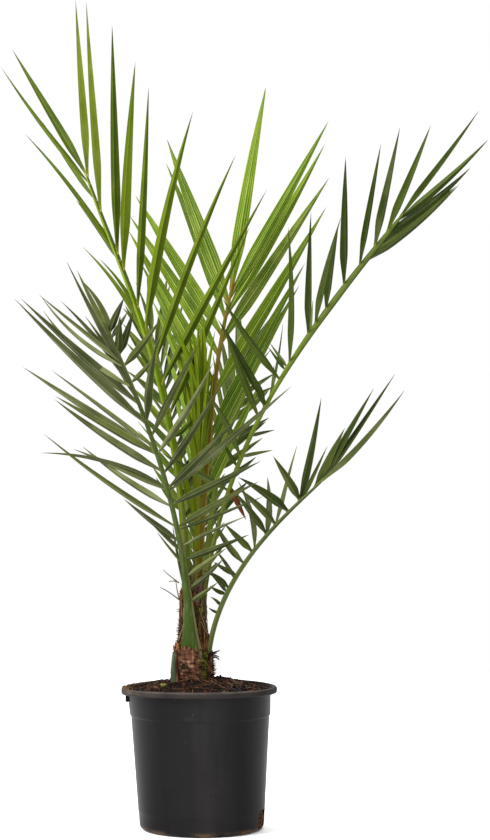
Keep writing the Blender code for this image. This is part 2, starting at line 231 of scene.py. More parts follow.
def pot_profile():
    """The pot's outside from the middle of its foot to the lip, then its inside."""
    lip = 2.2 * MM
    outside = [(0, 0), (BASE_RADIUS - 26 * MM, 0), (BASE_RADIUS - 24 * MM, 0)]
    outside += arc(BASE_RADIUS - BASE_ROUNDING, BASE_ROUNDING, BASE_ROUNDING, -90, 0, 8)
    wall_rise = (SHOULDER_RADIUS - STEP_DEPTH - BASE_RADIUS) / (COLLAR_FOOT - BASE_ROUNDING)
    crease = BASE_RADIUS + wall_rise * (CREASE_HEIGHT - BASE_ROUNDING)
    outside += [
        (crease - 0.1 * MM, CREASE_HEIGHT - 0.6 * MM),
        (crease + 0.45 * MM, CREASE_HEIGHT + 0.6 * MM),
        (crease + 0.5 * MM, CREASE_HEIGHT + 3 * MM),
        (SHOULDER_RADIUS - STEP_DEPTH, COLLAR_FOOT - 2.2 * MM),
        (SHOULDER_RADIUS - STEP_DEPTH + 0.3 * MM, COLLAR_FOOT - 1.2 * MM),
        (SHOULDER_RADIUS - 0.5 * MM, COLLAR_FOOT - 0.5 * MM),
        (SHOULDER_RADIUS, COLLAR_FOOT + 0.6 * MM),
        (COLLAR_RADIUS - 0.2 * MM, RIM_TOP - LIP_HEIGHT - 2 * MM),
        (COLLAR_RADIUS + 0.2 * MM, RIM_TOP - LIP_HEIGHT - 0.6 * MM),
        (RIM_RADIUS - 1.5 * MM, RIM_TOP - LIP_HEIGHT - 0.1 * MM),
    ]
    outside += arc(RIM_RADIUS - 1.4 * MM, RIM_TOP - LIP_HEIGHT + 1.4 * MM, 1.4 * MM, -90, 0, 3)
    outside += arc(RIM_RADIUS - lip, RIM_TOP - lip, lip, 0, 90, 6)
    outside += arc(RIM_RADIUS - 2.4 * lip, RIM_TOP - 0.9 * lip, 0.9 * lip, 90, 170, 4)
    inside = [
        (COLLAR_RADIUS - POT_WALL, RIM_TOP - LIP_HEIGHT - 1 * MM),
        (SHOULDER_RADIUS - STEP_DEPTH - POT_WALL, COLLAR_FOOT),
        (BASE_RADIUS - POT_WALL, BASE_ROUNDING + POT_WALL),
        (BASE_RADIUS - BASE_ROUNDING, POT_WALL),
        (0, POT_WALL),
    ]
    return outside + inside


def lip_drop(x, y):
    """How far the lip has sagged at a place: most behind and at its left."""
    behind = 1 - ((1 - y / RIM_RADIUS) / 2) ** 3
    return SAG_BEHIND * behind + SAG_LEFT * max(-x / RIM_RADIUS, 0) ** 2


def settled(point):
    """Where a point of the new pot has moved: its foot aside and its lip down."""
    loose = min(max((point.z - COLLAR_FOOT) / (RIM_TOP - LIP_HEIGHT - COLLAR_FOOT), 0), 1)
    aside = FOOT_ASIDE + (COLLAR_ASIDE - FOOT_ASIDE) * min(point.z / COLLAR_FOOT, 1)
    return point + Vector((aside * (1 - loose), 0, -loose * lip_drop(point.x, point.y)))


def pot_plastic():
    """Black plastic, dulled by handling, with dried splashes and soil at lip and foot, and painted shade
    that darkens its left and right sides.
    """
    finish = Finish("black_plastic", {"Specular IOR Level": 0.07})
    sideways = finish.where()
    height = sideways.of("Z")
    clouds = finish.grain(7, 6)
    streaks = finish.grain(26, 4, (1, 1, 0.12)).rise(0.4, 0.75)
    base = finish.mix(tint(39, 37, 39), tint(56, 54, 56), streaks)
    base = finish.mix(base, tint(76, 72, 70), clouds.rise(0.45, 0.8) * 0.28)
    splash = finish.grain(60, 5).rise(0.64, 0.72)
    base = finish.mix(base, tint(84, 80, 78), splash * 0.14)
    specks = finish.grain(330, 1).rise(0.79, 0.82)
    base = finish.mix(base, tint(150, 146, 140), specks * 0.45)
    # Painted shade: darker towards the pot's left and right sides, away from a band down its middle.
    base = finish.mix(base, tint(18, 16, 18), abs(sideways - 4 * MM).rise(16 * MM, 62 * MM) * 0.85)
    leftward = 1 - sideways.rise(-100 * MM, -40 * MM)
    lip = height.rise(RIM_TOP - LIP_HEIGHT - 2 * MM, RIM_TOP - LIP_HEIGHT + 1 * MM)
    dust = finish.grain(45, 6).rise(0.36, 0.64)
    base = finish.mix(base, tint(76, 70, 66), lip * (0.36 + 0.3 * dust))
    top = height.rise(RIM_TOP - 4 * MM, RIM_TOP - 1 * MM)
    base = finish.mix(base, tint(126, 113, 103),
                      top * (0.2 + 0.3 * dust) + lip * leftward * (0.3 + 0.4 * dust))
    foot = 1 - height.rise(1 * MM, 9 * MM)
    soiled = finish.grain(24, 6) + leftward * 0.16 + finish.grain(160, 4) * 0.3
    base = finish.mix(base, tint(150, 118, 88), foot * soiled.rise(0.54, 0.78) * 0.85)
    roughness = 0.34 + 0.2 * clouds + 0.3 * lip
    relief = finish.grain(700, 2) * 0.3 + finish.grain(90, 3, (1, 1, 0.2)) * 0.5
    return finish.coat(base, roughness, relief, 0.0004, 0.35)


def cut_slots(piece):
    """Cut the drain slots through the corner of the foot."""
    for bearing in SLOT_BEARINGS:
        block = rounded_block(SLOT_SIZE, 5 * MM)
        turn = Matrix.Rotation(math.radians(bearing), 4, "Z")
        block.transform(turn @ Matrix.Translation((BASE_RADIUS, 0, SLOT_MIDDLE)))
        cutter = bpy.data.objects.new("slot_cutter", mesh_of("slot_cutter", block))
        bpy.context.scene.collection.objects.link(cutter)
        step = piece.modifiers.new("Slot", "BOOLEAN")
        step.operation = "DIFFERENCE"
        step.solver = "EXACT"
        step.object = cutter
        bpy.context.view_layer.update()
        cut = piece.evaluated_get(bpy.context.evaluated_depsgraph_get())
        result = bpy.data.meshes.new_from_object(cut)
        piece.modifiers.clear()
        piece.data = result
        bpy.data.objects.remove(cutter)


pot_black = pot_plastic()
pot_mesh = mesh_of("pot_shell", turned(pot_profile(), POT_STEPS))
pot_shell = fitted("pot_shell", pot_mesh, pot_black)
cut_slots(pot_shell)
for vertex in pot_shell.data.vertices:
    vertex.co = settled(vertex.co)
pot_shell.data.shade_smooth()
pot_shell.data.set_sharp_from_angle(angle=math.radians(POT_CREASE))
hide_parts("pot")

lug_shape = rounded_block(LUG_SIZE, 1.5 * MM)
lug_place = Matrix.Translation((COLLAR_RADIUS + 0.8 * MM, 0, RIM_TOP - LIP_HEIGHT - 9 * MM))
lug_shape.transform(Matrix.Rotation(math.radians(LUG_BEARING), 4, "Z") @ lug_place)
fitted("pot_lug", mesh_of("pot_lug", lug_shape), pot_black)


# ---------------------------------------------------------------------------------------
# Compost: dark peat and composted bark, filled to the lip and mounded round the trunk,
# with loose crumbs, bark, dry straws and fine roots lying on it and roots in the slots.

SEAT_RADIUS, SEAT_HEIGHT, COMPOST_EDGE = 44 * MM, 206 * MM, 193 * MM
HEAP = Vector((26, 4, 0)) * MM
CRUMBS, LIP_GRIT, STRAWS, SLOT_ROOTS = 1900, 70, 210, 30


class Batch:
    """Many small parts gathered into one mesh, with two sets of numbers at each point."""

    def __init__(self):
        self.points, self.faces, self.place, self.lot = [], [], [], []

    def add(self, points, faces, place, lot):
        """A part: its points, faces, each point's place on it, and the part's own lot."""
        start = len(self.points)
        self.points += points
        self.faces += [tuple(start + corner for corner in face) for face in faces]
        self.place += place
        self.lot += [lot] * len(points)

    def skin(self, points, sides, place, lot):
        """A part made of rings of points, joined ring to ring and closed at both ends."""
        last = len(points) - sides
        faces = [tuple(reversed(range(sides))), tuple(last + side for side in range(sides))]
        for low in range(0, last, sides):
            for side in range(sides):
                after = (side + 1) % sides
                faces.append((low + side, low + after, low + sides + after, low + sides + side))
        self.add(points, faces, place, lot)

    def piece(self, name, finish, slot, crease=50):
        """The gathered parts as one finished piece."""
        mesh = bpy.data.meshes.new(name)
        mesh.from_pydata(self.points, [], self.faces)
        for label, values in (("place", self.place), ("lot", self.lot)):
            store = mesh.attributes.new(label, "FLOAT_VECTOR", "POINT")
            store.data.foreach_set("vector", [number for value in values for number in value])
        mesh.shade_smooth()
        mesh.set_sharp_from_angle(angle=math.radians(crease))
        return fitted(name, mesh, finish)


def frames(line):
    """Each point of a line with two square directions, turning as little as may be."""
    across = None
    for index, point in enumerate(line):
        heading = (line[min(index + 1, len(line) - 1)] - line[max(index - 1, 0)]).normalized()
        if across is None:
            across = heading.orthogonal()
        across = (across - heading * across.dot(heading)).normalized()
        yield point, across, heading.cross(across)


def tube(batch, line, radii, sides, lot):
    """A tapering round strand along a line, closed at both ends."""
    points, place = [], []
    for index, (point, across, up) in enumerate(frames(line)):
        for side in range(sides):
            angle = math.tau * side / sides
            points.append(point + (across * math.cos(angle) + up * math.sin(angle)) * radii[index])
            place.append((math.cos(angle), index / (len(line) - 1), math.sin(angle)))
    batch.skin(points, sides, place, lot)


def bent(start, middle, end, steps):
    """Points along a bend from start to end that leans towards a middle point."""
    shares = (step / steps for step in range(steps + 1))
    return [start * (1 - t) ** 2 + middle * (2 * t * (1 - t)) + end * t * t for t in shares]


def ball():
    """Points and faces of a small sphere of unit radius."""
    shape = bmesh.new()
    bmesh.ops.create_icosphere(shape, subdivisions=2, radius=1)
    points = [vertex.co.copy() for vertex in shape.verts]
    faces = [tuple(vertex.index for vertex in face.verts) for face in shape.faces]
    shape.free()
    return points, faces


BALL_POINTS, BALL_FACES = ball()


def lump(batch, centre, size, chance, lot):
    """A rough crumb about this many metres across."""
    turn = Matrix.Rotation(chance.uniform(0, math.tau), 3, Vector((chance.random(), chance.random(), 1)))
    scale = [size * chance.uniform(0.5, 1.2) / 2 for _ in range(3)]
    shift = Vector((chance.uniform(0, 99), 0, 0))
    points = []
    for point in BALL_POINTS:
        swell = 1 + 0.55 * noise.noise(point * 1.9 + shift)
        points.append(centre + turn @ Vector([point[k] * scale[k] * swell for k in range(3)]))
    batch.add(points, BALL_FACES, [tuple(point) for point in BALL_POINTS], lot)


def mound_height(x, y):
    """Height of the compost's top before its crumbs are laid on it."""
    radius = math.hypot(x, y)
    shoulder, brim = SEAT_RADIUS + 14 * MM, RIM_RADIUS - 24 * MM
    edge = RIM_RADIUS - 13 * MM
    crest = SEAT_HEIGHT - 2.5 * MM
    stops = ((0, crest), (SEAT_RADIUS * 0.7, crest), (shoulder, crest - 4 * MM),
             (brim, COMPOST_EDGE + 1.5 * MM), (edge, COMPOST_EDGE - 1 * MM), (1, COMPOST_EDGE - 6 * MM))
    for (start, high), (end, low) in zip(stops, stops[1:]):
        if radius <= end:
            level = high + (low - high) * (radius - start) / (end - start)
            break
    spot = Vector((x, y, 0))
    rough = 2.4 * noise.noise(spot * 60) + 1.5 * noise.noise(spot * 170) + 0.8 * noise.noise(spot * 420)
    rough += 4.5 * math.exp(-(spot - HEAP).length_squared / (15 * MM) ** 2)
    return level + rough * MM - lip_drop(x, y)


def compost_mix():
    """Moist peat, red-brown on the dry crumbs and nearly black in the hollows, which is partly the peat's
    own dark and partly painted shade.
    """
    finish = Finish("peat", {"Specular IOR Level": 0.1})
    coarse, fine = finish.grain(120, 5), finish.grain(700, 4)
    # Near black where the noise that also makes the bump is low: the peat's own dark and painted shade in
    # the hollows.
    base = finish.mix(tint(6, 3, 2), tint(104, 54, 28), (coarse * 0.5 + fine * 0.5).rise(0.5, 0.68))
    base = finish.mix(base, tint(112, 80, 56), finish.grain(340, 3).rise(0.66, 0.74) * 0.6)
    return finish.coat(base, 0.8 + 0.15 * fine, coarse + fine * 0.7, 0.0014, 0.9)


def litter():
    """Crumbs and straws, each of its own brown."""
    finish = Finish("bark_litter", {"Specular IOR Level": 0.1})
    parts = finish.kept("lot")
    fine = finish.grain(900, 4)
    base = finish.mix(tint(6, 3, 2), tint(140, 84, 50), parts)
    base = finish.mix(base, tint(168, 134, 96), parts.of("Y"))
    base = finish.mix(base, tint(196, 190, 92), parts.of("Z"))
    base = finish.mix(base, tint(5, 3, 2), fine.rise(0.45, 0.62) * 0.75)
    return finish.coat(base, 0.7 + 0.2 * fine, fine + finish.grain(300, 3), 0.0008, 0.8)


def compost_body():
    """The fill: a turned body whose top is roughened and mounded."""
    rings, steps, wall = 58, 200, POT_WALL + 0.3 * MM
    edge = COLLAR_RADIUS - wall - 0.5 * MM
    top = [(edge * (1 - (ring / rings) ** 0.9), SEAT_HEIGHT) for ring in range(rings + 1)]
    profile = [(0, wall), (BASE_RADIUS - BASE_ROUNDING, wall), (BASE_RADIUS - wall, BASE_ROUNDING + wall)]
    profile += [(SHOULDER_RADIUS - STEP_DEPTH - wall - 0.2 * MM, COLLAR_FOOT)]
    profile += [(edge, RIM_TOP - LIP_HEIGHT - 3 * MM)]
    shape = turned(profile + top, steps)
    for vertex in shape.verts:
        if vertex.co.z >= SEAT_HEIGHT - 0.01 * MM:
            vertex.co.z = mound_height(vertex.co.x, vertex.co.y)
        else:
            vertex.co = settled(vertex.co)
    return mesh_of("compost_fill", shape)


def lying_line(chance, length, bend):
    """A crooked line that lies on the mound."""
    bearing, radius = chance.uniform(0, math.tau), 92 * MM * math.sqrt(chance.uniform(0.03, 1))
    spot = Vector((radius * math.cos(bearing), radius * math.sin(bearing), 0))
    heading, line = chance.uniform(0, math.tau), []
    rise = chance.uniform(0.3, 1.6) * MM
    for _ in range(8):
        if math.hypot(spot.x, spot.y) < 96 * MM:
            line.append(Vector((spot.x, spot.y, mound_height(spot.x, spot.y) + rise)))
        heading += chance.uniform(-bend, bend)
        spot += Vector((math.cos(heading), math.sin(heading), 0)) * (length / 7)
    return line


chance = random.Random(5)
compost_fill = fitted("compost_fill", compost_body(), compost_mix())
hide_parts("compost")

crumbs = Batch()
for _ in range(CRUMBS):
    bearing, radius = chance.uniform(0, math.tau), 93 * MM * math.sqrt(chance.uniform(0.05, 1))
    x, y = radius * math.cos(bearing), radius * math.sin(bearing)
    size = chance.choice((1, 1.3, 1.7, 2.2, 2.8, 3.8)) * MM
    pale = chance.random()
    # Painted shadow: crumbs to the right of the trunk and behind it are darkened.
    painted_shadow_right = 0.35 if abs(bearing - 0.1) < 1.1 or bearing > 6 else 1
    lot = (chance.random() ** 4 * painted_shadow_right, 0.7 if pale > 0.965 else 0, 0)
    lump(crumbs, Vector((x, y, mound_height(x, y) + 0.2 * size)), size, chance, lot)
for _ in range(LIP_GRIT):
    spot = Vector((chance.gauss(-102, 4), chance.gauss(0, 26), 0)) * MM
    spot = spot.normalized() * (chance.uniform(95, 105) * MM)
    spot.z = RIM_TOP - lip_drop(spot.x, spot.y) + 0.3 * MM
    lump(crumbs, spot, chance.uniform(1, 2.6) * MM, chance, (0.8, chance.uniform(0.4, 1), 0))
GREEN_CRUMBS = ((-48.5, -46, 5.4), (-46, -47, 5), (-49, -45, 4))     # place and size in mm
for x, y, size in GREEN_CRUMBS:
    centre = Vector((x * MM, y * MM, mound_height(x * MM, y * MM) + (8 - size) * MM))
    lump(crumbs, centre, size * MM, chance, (1, 0.55, 0.8))
# Roots that lie on the compost: where each one starts, leans to and ends, and its radius.
ROOTS = (((3, -20), (14, -34), (36, -66), 0.45), ((8, -18), (30, -24), (46, -44), 0.35),
         ((38, 6), (44, -12), (60, -30), 0.3), ((40, 2), (52, -14), (56, -38), 0.25),
         ((-12, -24), (-34, -30), (-66, -34), 0.4), ((-20, -20), (-50, -24), (-72, -52), 0.3),
         ((44, -8), (64, -34), (78, -40), 0.35), ((0, 26), (30, 50), (66, 52), 0.35))
for *corners, thick in ROOTS:
    line = bent(*(Vector((*corner, 0)) * MM for corner in corners), 12)
    for step, spot in enumerate(line):
        spot.z = mound_height(spot.x, spot.y) + (1.2 + math.sin(step / 12 * 9)) * MM
    tube(crumbs, line, [thick * MM] * 13, 5, (1, 0.5, 0))
for _ in range(STRAWS):
    line = lying_line(chance, chance.uniform(10, 34) * MM, 0.5)
    if len(line) > 3:
        thick = chance.uniform(0.14, 0.42) * MM
        radii = [thick * (1 - 0.5 * step / len(line)) for step in range(len(line))]
        tube(crumbs, line, radii, 5, (chance.random(), chance.choice((0, 0.15, 0.3, 0.9)), 0))
for slot_bearing in SLOT_BEARINGS:
    for _ in range(SLOT_ROOTS):
        start = math.radians(slot_bearing + chance.uniform(-9, 9))
        radius, spot, line = BASE_RADIUS - chance.uniform(0.6, 2.4) * MM, chance.uniform(5, 26) * MM, []
        drift, climb = chance.uniform(-0.035, 0.035), chance.uniform(-1.6, 1.6) * MM
        for step in range(7):
            line.append(settled(Vector((radius * math.cos(start), radius * math.sin(start), spot))))
            start += drift + chance.uniform(-0.012, 0.012)
            spot = min(max(spot + climb + chance.uniform(-1, 1) * MM, 4 * MM), 27 * MM)
        thick = chance.uniform(0.4, 0.9) * MM
        tube(crumbs, line, [thick] * 7, 6, (1, chance.uniform(0, 0.6), 0))
crumbs.piece("compost_litter", litter(), "compost")


# ---------------------------------------------------------------------------------------
# Trunk: the short swollen stem of a young palm, wrapped in the dry sheaths of its old
# leaves.  The sheaths have split into brown fibre, with green tissue showing between.

TRUNK_FOOT, TRUNK_TOP = SEAT_HEIGHT - 9 * MM, 331 * MM
TRUNK_AXIS, TRUNK_LEAN = Vector((-4.3 * MM, 0, 0)), Vector((-3.9 * MM, 0, 0))
TRUNK_SHAPE = (
    (0.00, 22.0), (0.18, 22.8), (0.34, 20.2), (0.46, 18.0), (0.65, 16.4), (0.90, 15.2), (1.00, 11.5),
)
BULB_TOP = 246 * MM
SHEATH_EDGES = (            # bearing of the apex, its height in mm, half width in degrees
    (250, 244, 75), (330, 236, 70), (60, 240, 80), (160, 246, 70),
    (290, 268, 80), (20, 275, 80), (120, 283, 80), (215, 292, 80),
    (310, 306, 85), (60, 318, 85), (170, 326, 90),
)


def trunk_radius(height):
    """Radius of the bare stem at a height, smoothed between its named stations."""
    share = min(max((height - TRUNK_FOOT) / (TRUNK_TOP - TRUNK_FOOT), 0), 1)
    for (start, near), (end, far) in zip(TRUNK_SHAPE, TRUNK_SHAPE[1:]):
        if share <= end:
            part = (share - start) / (end - start)
            return (near + (far - near) * part * part * (3 - 2 * part)) * MM
    return TRUNK_SHAPE[-1][1] * MM


def trunk_middle(height):
    """The stem's centre at a height."""
    share = (height - TRUNK_FOOT) / (TRUNK_TOP - TRUNK_FOOT)
    return TRUNK_AXIS + TRUNK_LEAN * min(share * 3, 1) + Vector((0, 0, height))


def on_trunk(bearing, height, proud=0.0):
    """A point on the stem's side, standing proud of it by so much."""
    radius = trunk_radius(height) + proud
    angle = math.radians(bearing)
    return trunk_middle(height) + Vector((math.cos(angle), math.sin(angle), 0)) * radius


def sheath_relief(bearing, height):
    """How far the sheaths stand out: a lip under each edge, and fibres that run upwards."""
    out = 0.0
    for apex, top, half in SHEATH_EDGES:
        off = (bearing - apex + 180) % 360 - 180
        if abs(off) < half:
            ragged = 2.5 * noise.noise(Vector((bearing * 0.11, apex, 0)))
            edge = (top - 22 * (off / half) ** 2 + ragged) * MM
            if height < edge:
                out = max(out, 1.7 * MM * math.exp(-(edge - height) / (14 * MM)))
    angle = math.radians(bearing)
    spot = Vector((math.cos(angle) * 9, math.sin(angle) * 9, height * 28))
    out += 0.5 * MM * noise.noise(spot) + 0.35 * MM * noise.noise(spot * 2.7)
    knobs = Vector((math.cos(angle) * 2.2, math.sin(angle) * 2.2, height * 95))
    swell = 2.4 if height < BULB_TOP else 1.1
    return out + swell * MM * noise.noise(knobs)


def sheath_finish(name, dark, mid, pale, green, greenness):
    """Dry fibrous sheath: streaks of several browns with some living green left, its fibres
    upright on the stem and crossing on the swollen foot, and painted shade in the gaps between them."""
    finish = Finish(name, {"Specular IOR Level": 0.08})
    upright = finish.grain(420, 4, (1, 1, 0.09))
    crossing = finish.grain(300, 5, (0.34, 0.34, 1))
    low = 1 - finish.where().of("Z").rise(BULB_TOP - 10 * MM, BULB_TOP + 8 * MM)
    strands = upright + low * (crossing - upright) * 0.65
    patches = finish.grain(62, 5)
    base = finish.mix(dark, mid, strands.rise(0.38, 0.6))
    base = finish.mix(base, pale, (strands + patches * 0.5).rise(0.78, 0.92) * 0.75)
    base = finish.mix(base, green, patches.rise(0.60 - greenness, 0.72 - greenness) * 0.85)
    # Painted shade: near-black patches for the gaps between the fibres.
    base = finish.mix(base, tint(14, 9, 6), finish.grain(130, 4).rise(0.54, 0.68) * 0.75)
    return finish.coat(base, 0.62 + 0.25 * strands, strands + patches * 0.5, 0.0014, 0.9)


def trunk_core():
    """The stem as one mesh, its relief worked into the surface."""
    rings, sides = 150, 140
    points = []
    for ring in range(rings + 1):
        height = TRUNK_FOOT + (TRUNK_TOP - TRUNK_FOOT) * ring / rings
        for side in range(sides):
            bearing = 360 * side / sides
            points.append(on_trunk(bearing, height, sheath_relief(bearing, height)))
    batch = Batch()
    batch.skin(points, sides, [(0, 0, 0)] * len(points), (0, 0, 0))
    return batch


bark = sheath_finish("palm_bark", tint(48, 28, 10), tint(150, 98, 38), tint(200, 148, 78),
                     tint(96, 108, 34), 0.12)
trunk_stem = trunk_core().piece("trunk_stem", bark, "trunk_fibre", 70)
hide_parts("trunk")

# Torn sheaths: thin dry sheets that still wrap the stem, ragged along the top and peeling.
# bearing, half width, foot, top and lift at the top in mm, a reach round the stem, and how
# much higher the sheet's far end stands.
Flap = namedtuple("Flap", "bearing half foot top lift edge slant")
FLAPS = (
    Flap(345, 30, 196, 238, 3.2, 3, 4), Flap(20, 45, 196, 240, 4.0, 4, 0),
    Flap(90, 50, 196, 245, 4.0, 5, 5), Flap(155, 45, 196, 250, 3.5, 6, 0),
    Flap(196, 17, 240, 326, 1.4, 7, 3), Flap(345, 36, 230, 262, 1.6, 8, 5),
    Flap(60, 44, 236, 284, 2.0, 9, 4), Flap(135, 44, 236, 300, 2.2, 10, -5),
    Flap(318, 22, 240, 282, 0.9, 14, 2), Flap(204, 15, 200, 252, 3.6, 32, 5),
)
PALE_FLAPS = (
    Flap(262, 44, 196, 247, 4.6, 31, -2), Flap(236, 20, 197, 224, 4.6, 22, 4),
    Flap(286, 14, 226, 243, 6.0, 21, 6), Flap(192, 18, 197, 247, 5.2, 24, 2),
    Flap(322, 13, 198, 212, 4.4, 25, 3), Flap(40, 20, 216, 240, 4.0, 27, 3),
    Flap(120, 22, 214, 242, 4.0, 28, -3), Flap(300, 6, 262, 300, 1.4, 33, 2),
)
GREEN_FLAPS = (
    Flap(318, 20, 288, 322, 1.8, 41, 0), Flap(296, 10, 256, 300, 1.0, 42, 3),
    Flap(305, 20, 204, 240, 3.4, 43, 3), Flap(100, 30, 280, 322, 2.0, 44, 0),
    Flap(20, 24, 286, 318, 2.0, 45, 0),
)
OLD_SHEATHS = (Flap(318, 48, 306, 338, 8.5, 11, 9), Flap(30, 42, 296, 332, 3.5, 12, 0))


def flap(batch, sheet):
    """One torn sheath: a closed thin sheet that follows the stem and lifts off at its edge."""
    wide, tall, thick = 34, 22, 0.7 * MM
    front, back, place = [], [], []
    for row in range(tall + 1):
        for column in range(wide + 1):
            across = column / wide * 2 - 1
            bearing = sheet.bearing + across * sheet.half
            ragged = 5 * noise.noise(Vector((across * 4, sheet.edge, 0)))
            ragged += 3 * noise.noise(Vector((across * 15, sheet.edge, 3)))
            top = sheet.top + ragged - 10 * abs(across) ** 2.5 + sheet.slant * across
            share = row / tall
            foot = sheet.foot + sheet.slant * across * 0.8 + 0.3 * (sheet.top - sheet.foot) * across ** 4
            height = (foot + (top - foot) * share) * MM
            lift = (1.6 + sheet.lift * share ** 3) * MM * (1 - 0.55 * abs(across) ** 3)
            lift += 0.7 * MM * noise.noise(Vector((across * 7, share * 2, sheet.edge)))
            front.append(on_trunk(bearing, height, lift + thick))
            back.append(on_trunk(bearing, height, lift - (0 if share > 0.1 else thick)))
            place.append((across, share, 0))
    count = len(front)
    faces = []
    for row in range(tall):
        for column in range(wide):
            a = row * (wide + 1) + column
            corners = (a, a + 1, a + wide + 2, a + wide + 1)
            faces.append(corners)
            faces.append(tuple(count + corner for corner in reversed(corners)))
    rim = list(range(wide + 1))
    rim += [row * (wide + 1) + wide for row in range(1, tall + 1)]
    rim += [tall * (wide + 1) + column for column in range(wide - 1, -1, -1)]
    rim += [row * (wide + 1) for row in range(tall - 1, 0, -1)]
    for here, there in zip(rim, rim[1:] + rim[:1]):
        faces.append((there, here, count + here, count + there))
    batch.add(front + back, faces, place * 2, (0, 0, 0))


for name, sheets, dried, tones, greenness in (
    ("trunk_sheaths", FLAPS, "dry_sheath",
     (tint(50, 29, 12), tint(136, 86, 42), tint(190, 138, 84), tint(86, 90, 36)), 0.03),
    ("trunk_torn", PALE_FLAPS, "torn_sheath",
     (tint(58, 33, 22), tint(146, 96, 70), tint(220, 172, 142), tint(84, 70, 36)), 0.0),
    ("trunk_living", GREEN_FLAPS, "green_sheath",
     (tint(44, 40, 10), tint(108, 108, 28), tint(178, 156, 64), tint(104, 118, 34)), 0.06),
    ("trunk_old_sheaths", OLD_SHEATHS, "old_purple_sheath",
     (tint(76, 48, 46), tint(130, 92, 84), tint(178, 118, 66), tint(96, 84, 50)), -0.12),
):
    layer = Batch()
    for sheet in sheets:
        flap(layer, sheet)
    layer.piece(name, sheath_finish(dried, *tones, greenness), "trunk_fibre", 60)

# Fibre: the loose hair of the split sheaths, woven round the stem, with a few long tan
# strings across it, a dark tuft on its right and thin dry spines on its left.
FIBRES, TUFT_HAIRS, BRISTLES = 900, 50, 120


def fibre_finish():
    """Palm hair, from near black to straw."""
    finish = Finish("palm_hair", {"Specular IOR Level": 0.1})
    parts = finish.kept("lot")
    fine = finish.grain(1200, 2)
    base = finish.mix(tint(24, 14, 9), tint(118, 76, 46), parts)
    base = finish.mix(base, tint(196, 160, 112), parts.of("Y"))
    base = finish.mix(base, tint(120, 128, 84), parts.of("Z"))
    base = finish.mix(base, tint(16, 10, 7), fine.rise(0.5, 0.7) * 0.4)
    return finish.coat(base, 0.55 + 0.25 * fine, fine, 0.0003, 0.5)


def wrapped_line(chance, bearing, height, slant, length, proud, steps=9):
    """A strand that winds over the stem at a slant, lifting from it a little."""
    line = []
    for step in range(steps):
        share = step / (steps - 1)
        lift = proud + (1.1 * noise.noise(Vector((share * 3, bearing, height * 90)))) * MM
        line.append(on_trunk(bearing, height, max(lift, 0.4 * MM)))
        bearing += math.degrees(math.cos(slant) * length / (steps - 1) / trunk_radius(height))
        height = max(height + math.sin(slant) * length / (steps - 1), SEAT_HEIGHT - 1 * MM)
        slant += chance.uniform(-0.22, 0.22)
    return line


hair = Batch()
for _ in range(FIBRES):
    height = SEAT_HEIGHT + 138 * MM * chance.random() ** 1.4
    steep = (0.1, 1.3) if height < BULB_TOP else (0.7, 1.5)
    slant = chance.choice((1, -1)) * chance.uniform(*steep)
    line = wrapped_line(chance, chance.uniform(0, 360), height, slant,
                        chance.uniform(10, 34) * MM, chance.uniform(0.9, 3.2) * MM)
    thick = chance.uniform(0.14, 0.38) * MM
    lot = (chance.random() ** 1.5, chance.choice((0, 0, 0, 0.25, 0.8)), 0)
    tube(hair, line, [thick * (1 - 0.6 * step / 8) for step in range(9)], 4, lot)
STRINGS = (         # bearing, height and length in mm, slant in radians, pale strands
    (262, 256, 56, -1.15), (296, 300, 58, -1.42), (303, 282, 40, -1.3), (231, 300, 56, -1.62),
    (35, 262, 44, -1.1), (120, 250, 40, -0.9), (180, 240, 34, 1.0),
)
for bearing, height, length, slant in STRINGS:
    line = wrapped_line(chance, bearing, height * MM, slant, length * MM, 4.0 * MM, 12)
    tube(hair, line, [0.5 * MM * (1 - 0.5 * step / 12) for step in range(12)], 6, (1, 0.85, 0))
for number in range(BRISTLES):
    low = number % 3
    bearing = chance.gauss(350, 22) if low else chance.uniform(150, 210)
    start = on_trunk(bearing, (chance.uniform(204, 238) if low else chance.uniform(246, 330)) * MM, 1.5 * MM)
    angle = math.radians(bearing + chance.uniform(-25, 25))
    out = Vector((math.cos(angle), math.sin(angle), chance.uniform(-0.3, 0.8))).normalized()
    length, thick = chance.uniform(2.5, 5.5) * MM, chance.uniform(0.5, 1.1) * MM
    bend = Vector((0, 0, chance.uniform(-3, 2))) * MM
    line = [start + out * (length * step / 6) + bend * (step / 6) ** 2 for step in range(7)]
    tube(hair, line, [thick * (1 - 0.8 * step / 6) for step in range(7)], 6, (chance.random() * 0.3, 0, 0))
# Quills and spines, in mm: where each one starts, leans to and ends.
QUILLS = (((14, -12, 237), (22, -13, 240), (28, -14, 242)), ((15, -10, 236), (21, -11, 236), (27, -12, 233)),
          ((14, -8, 239), (20, -6, 236), (24, -6, 238)), ((16, -4, 232), (24, -2, 233), (27, 0, 228)))
for quill in QUILLS:
    line = bent(*(Vector(point) * MM for point in quill), 6)
    tube(hair, line, [(1.5 - 0.8 * step / 6) * MM for step in range(7)], 6, (0.15, 0, 0))
for number in range(TUFT_HAIRS):
    bearing = chance.gauss(345, 34) if number % 3 else chance.uniform(0, 360)
    height = chance.uniform(208, 240) * MM
    start = on_trunk(bearing, height, 0.5 * MM)
    angle = math.radians(bearing + chance.uniform(-40, 40))
    out = Vector((math.cos(angle), math.sin(angle), chance.uniform(-0.9, 0.9))).normalized()
    line, spot = [], start
    for step in range(6):
        line.append(spot)
        spot = spot + out * (chance.uniform(1.0, 2.2) * MM)
        out = (out + Vector([chance.uniform(-0.5, 0.5) for _ in range(3)])).normalized()
    tube(hair, line, [chance.uniform(0.2, 0.42) * MM * (1 - 0.14 * step) for step in range(6)], 5,
         (chance.random() * 0.35, 0, 0))
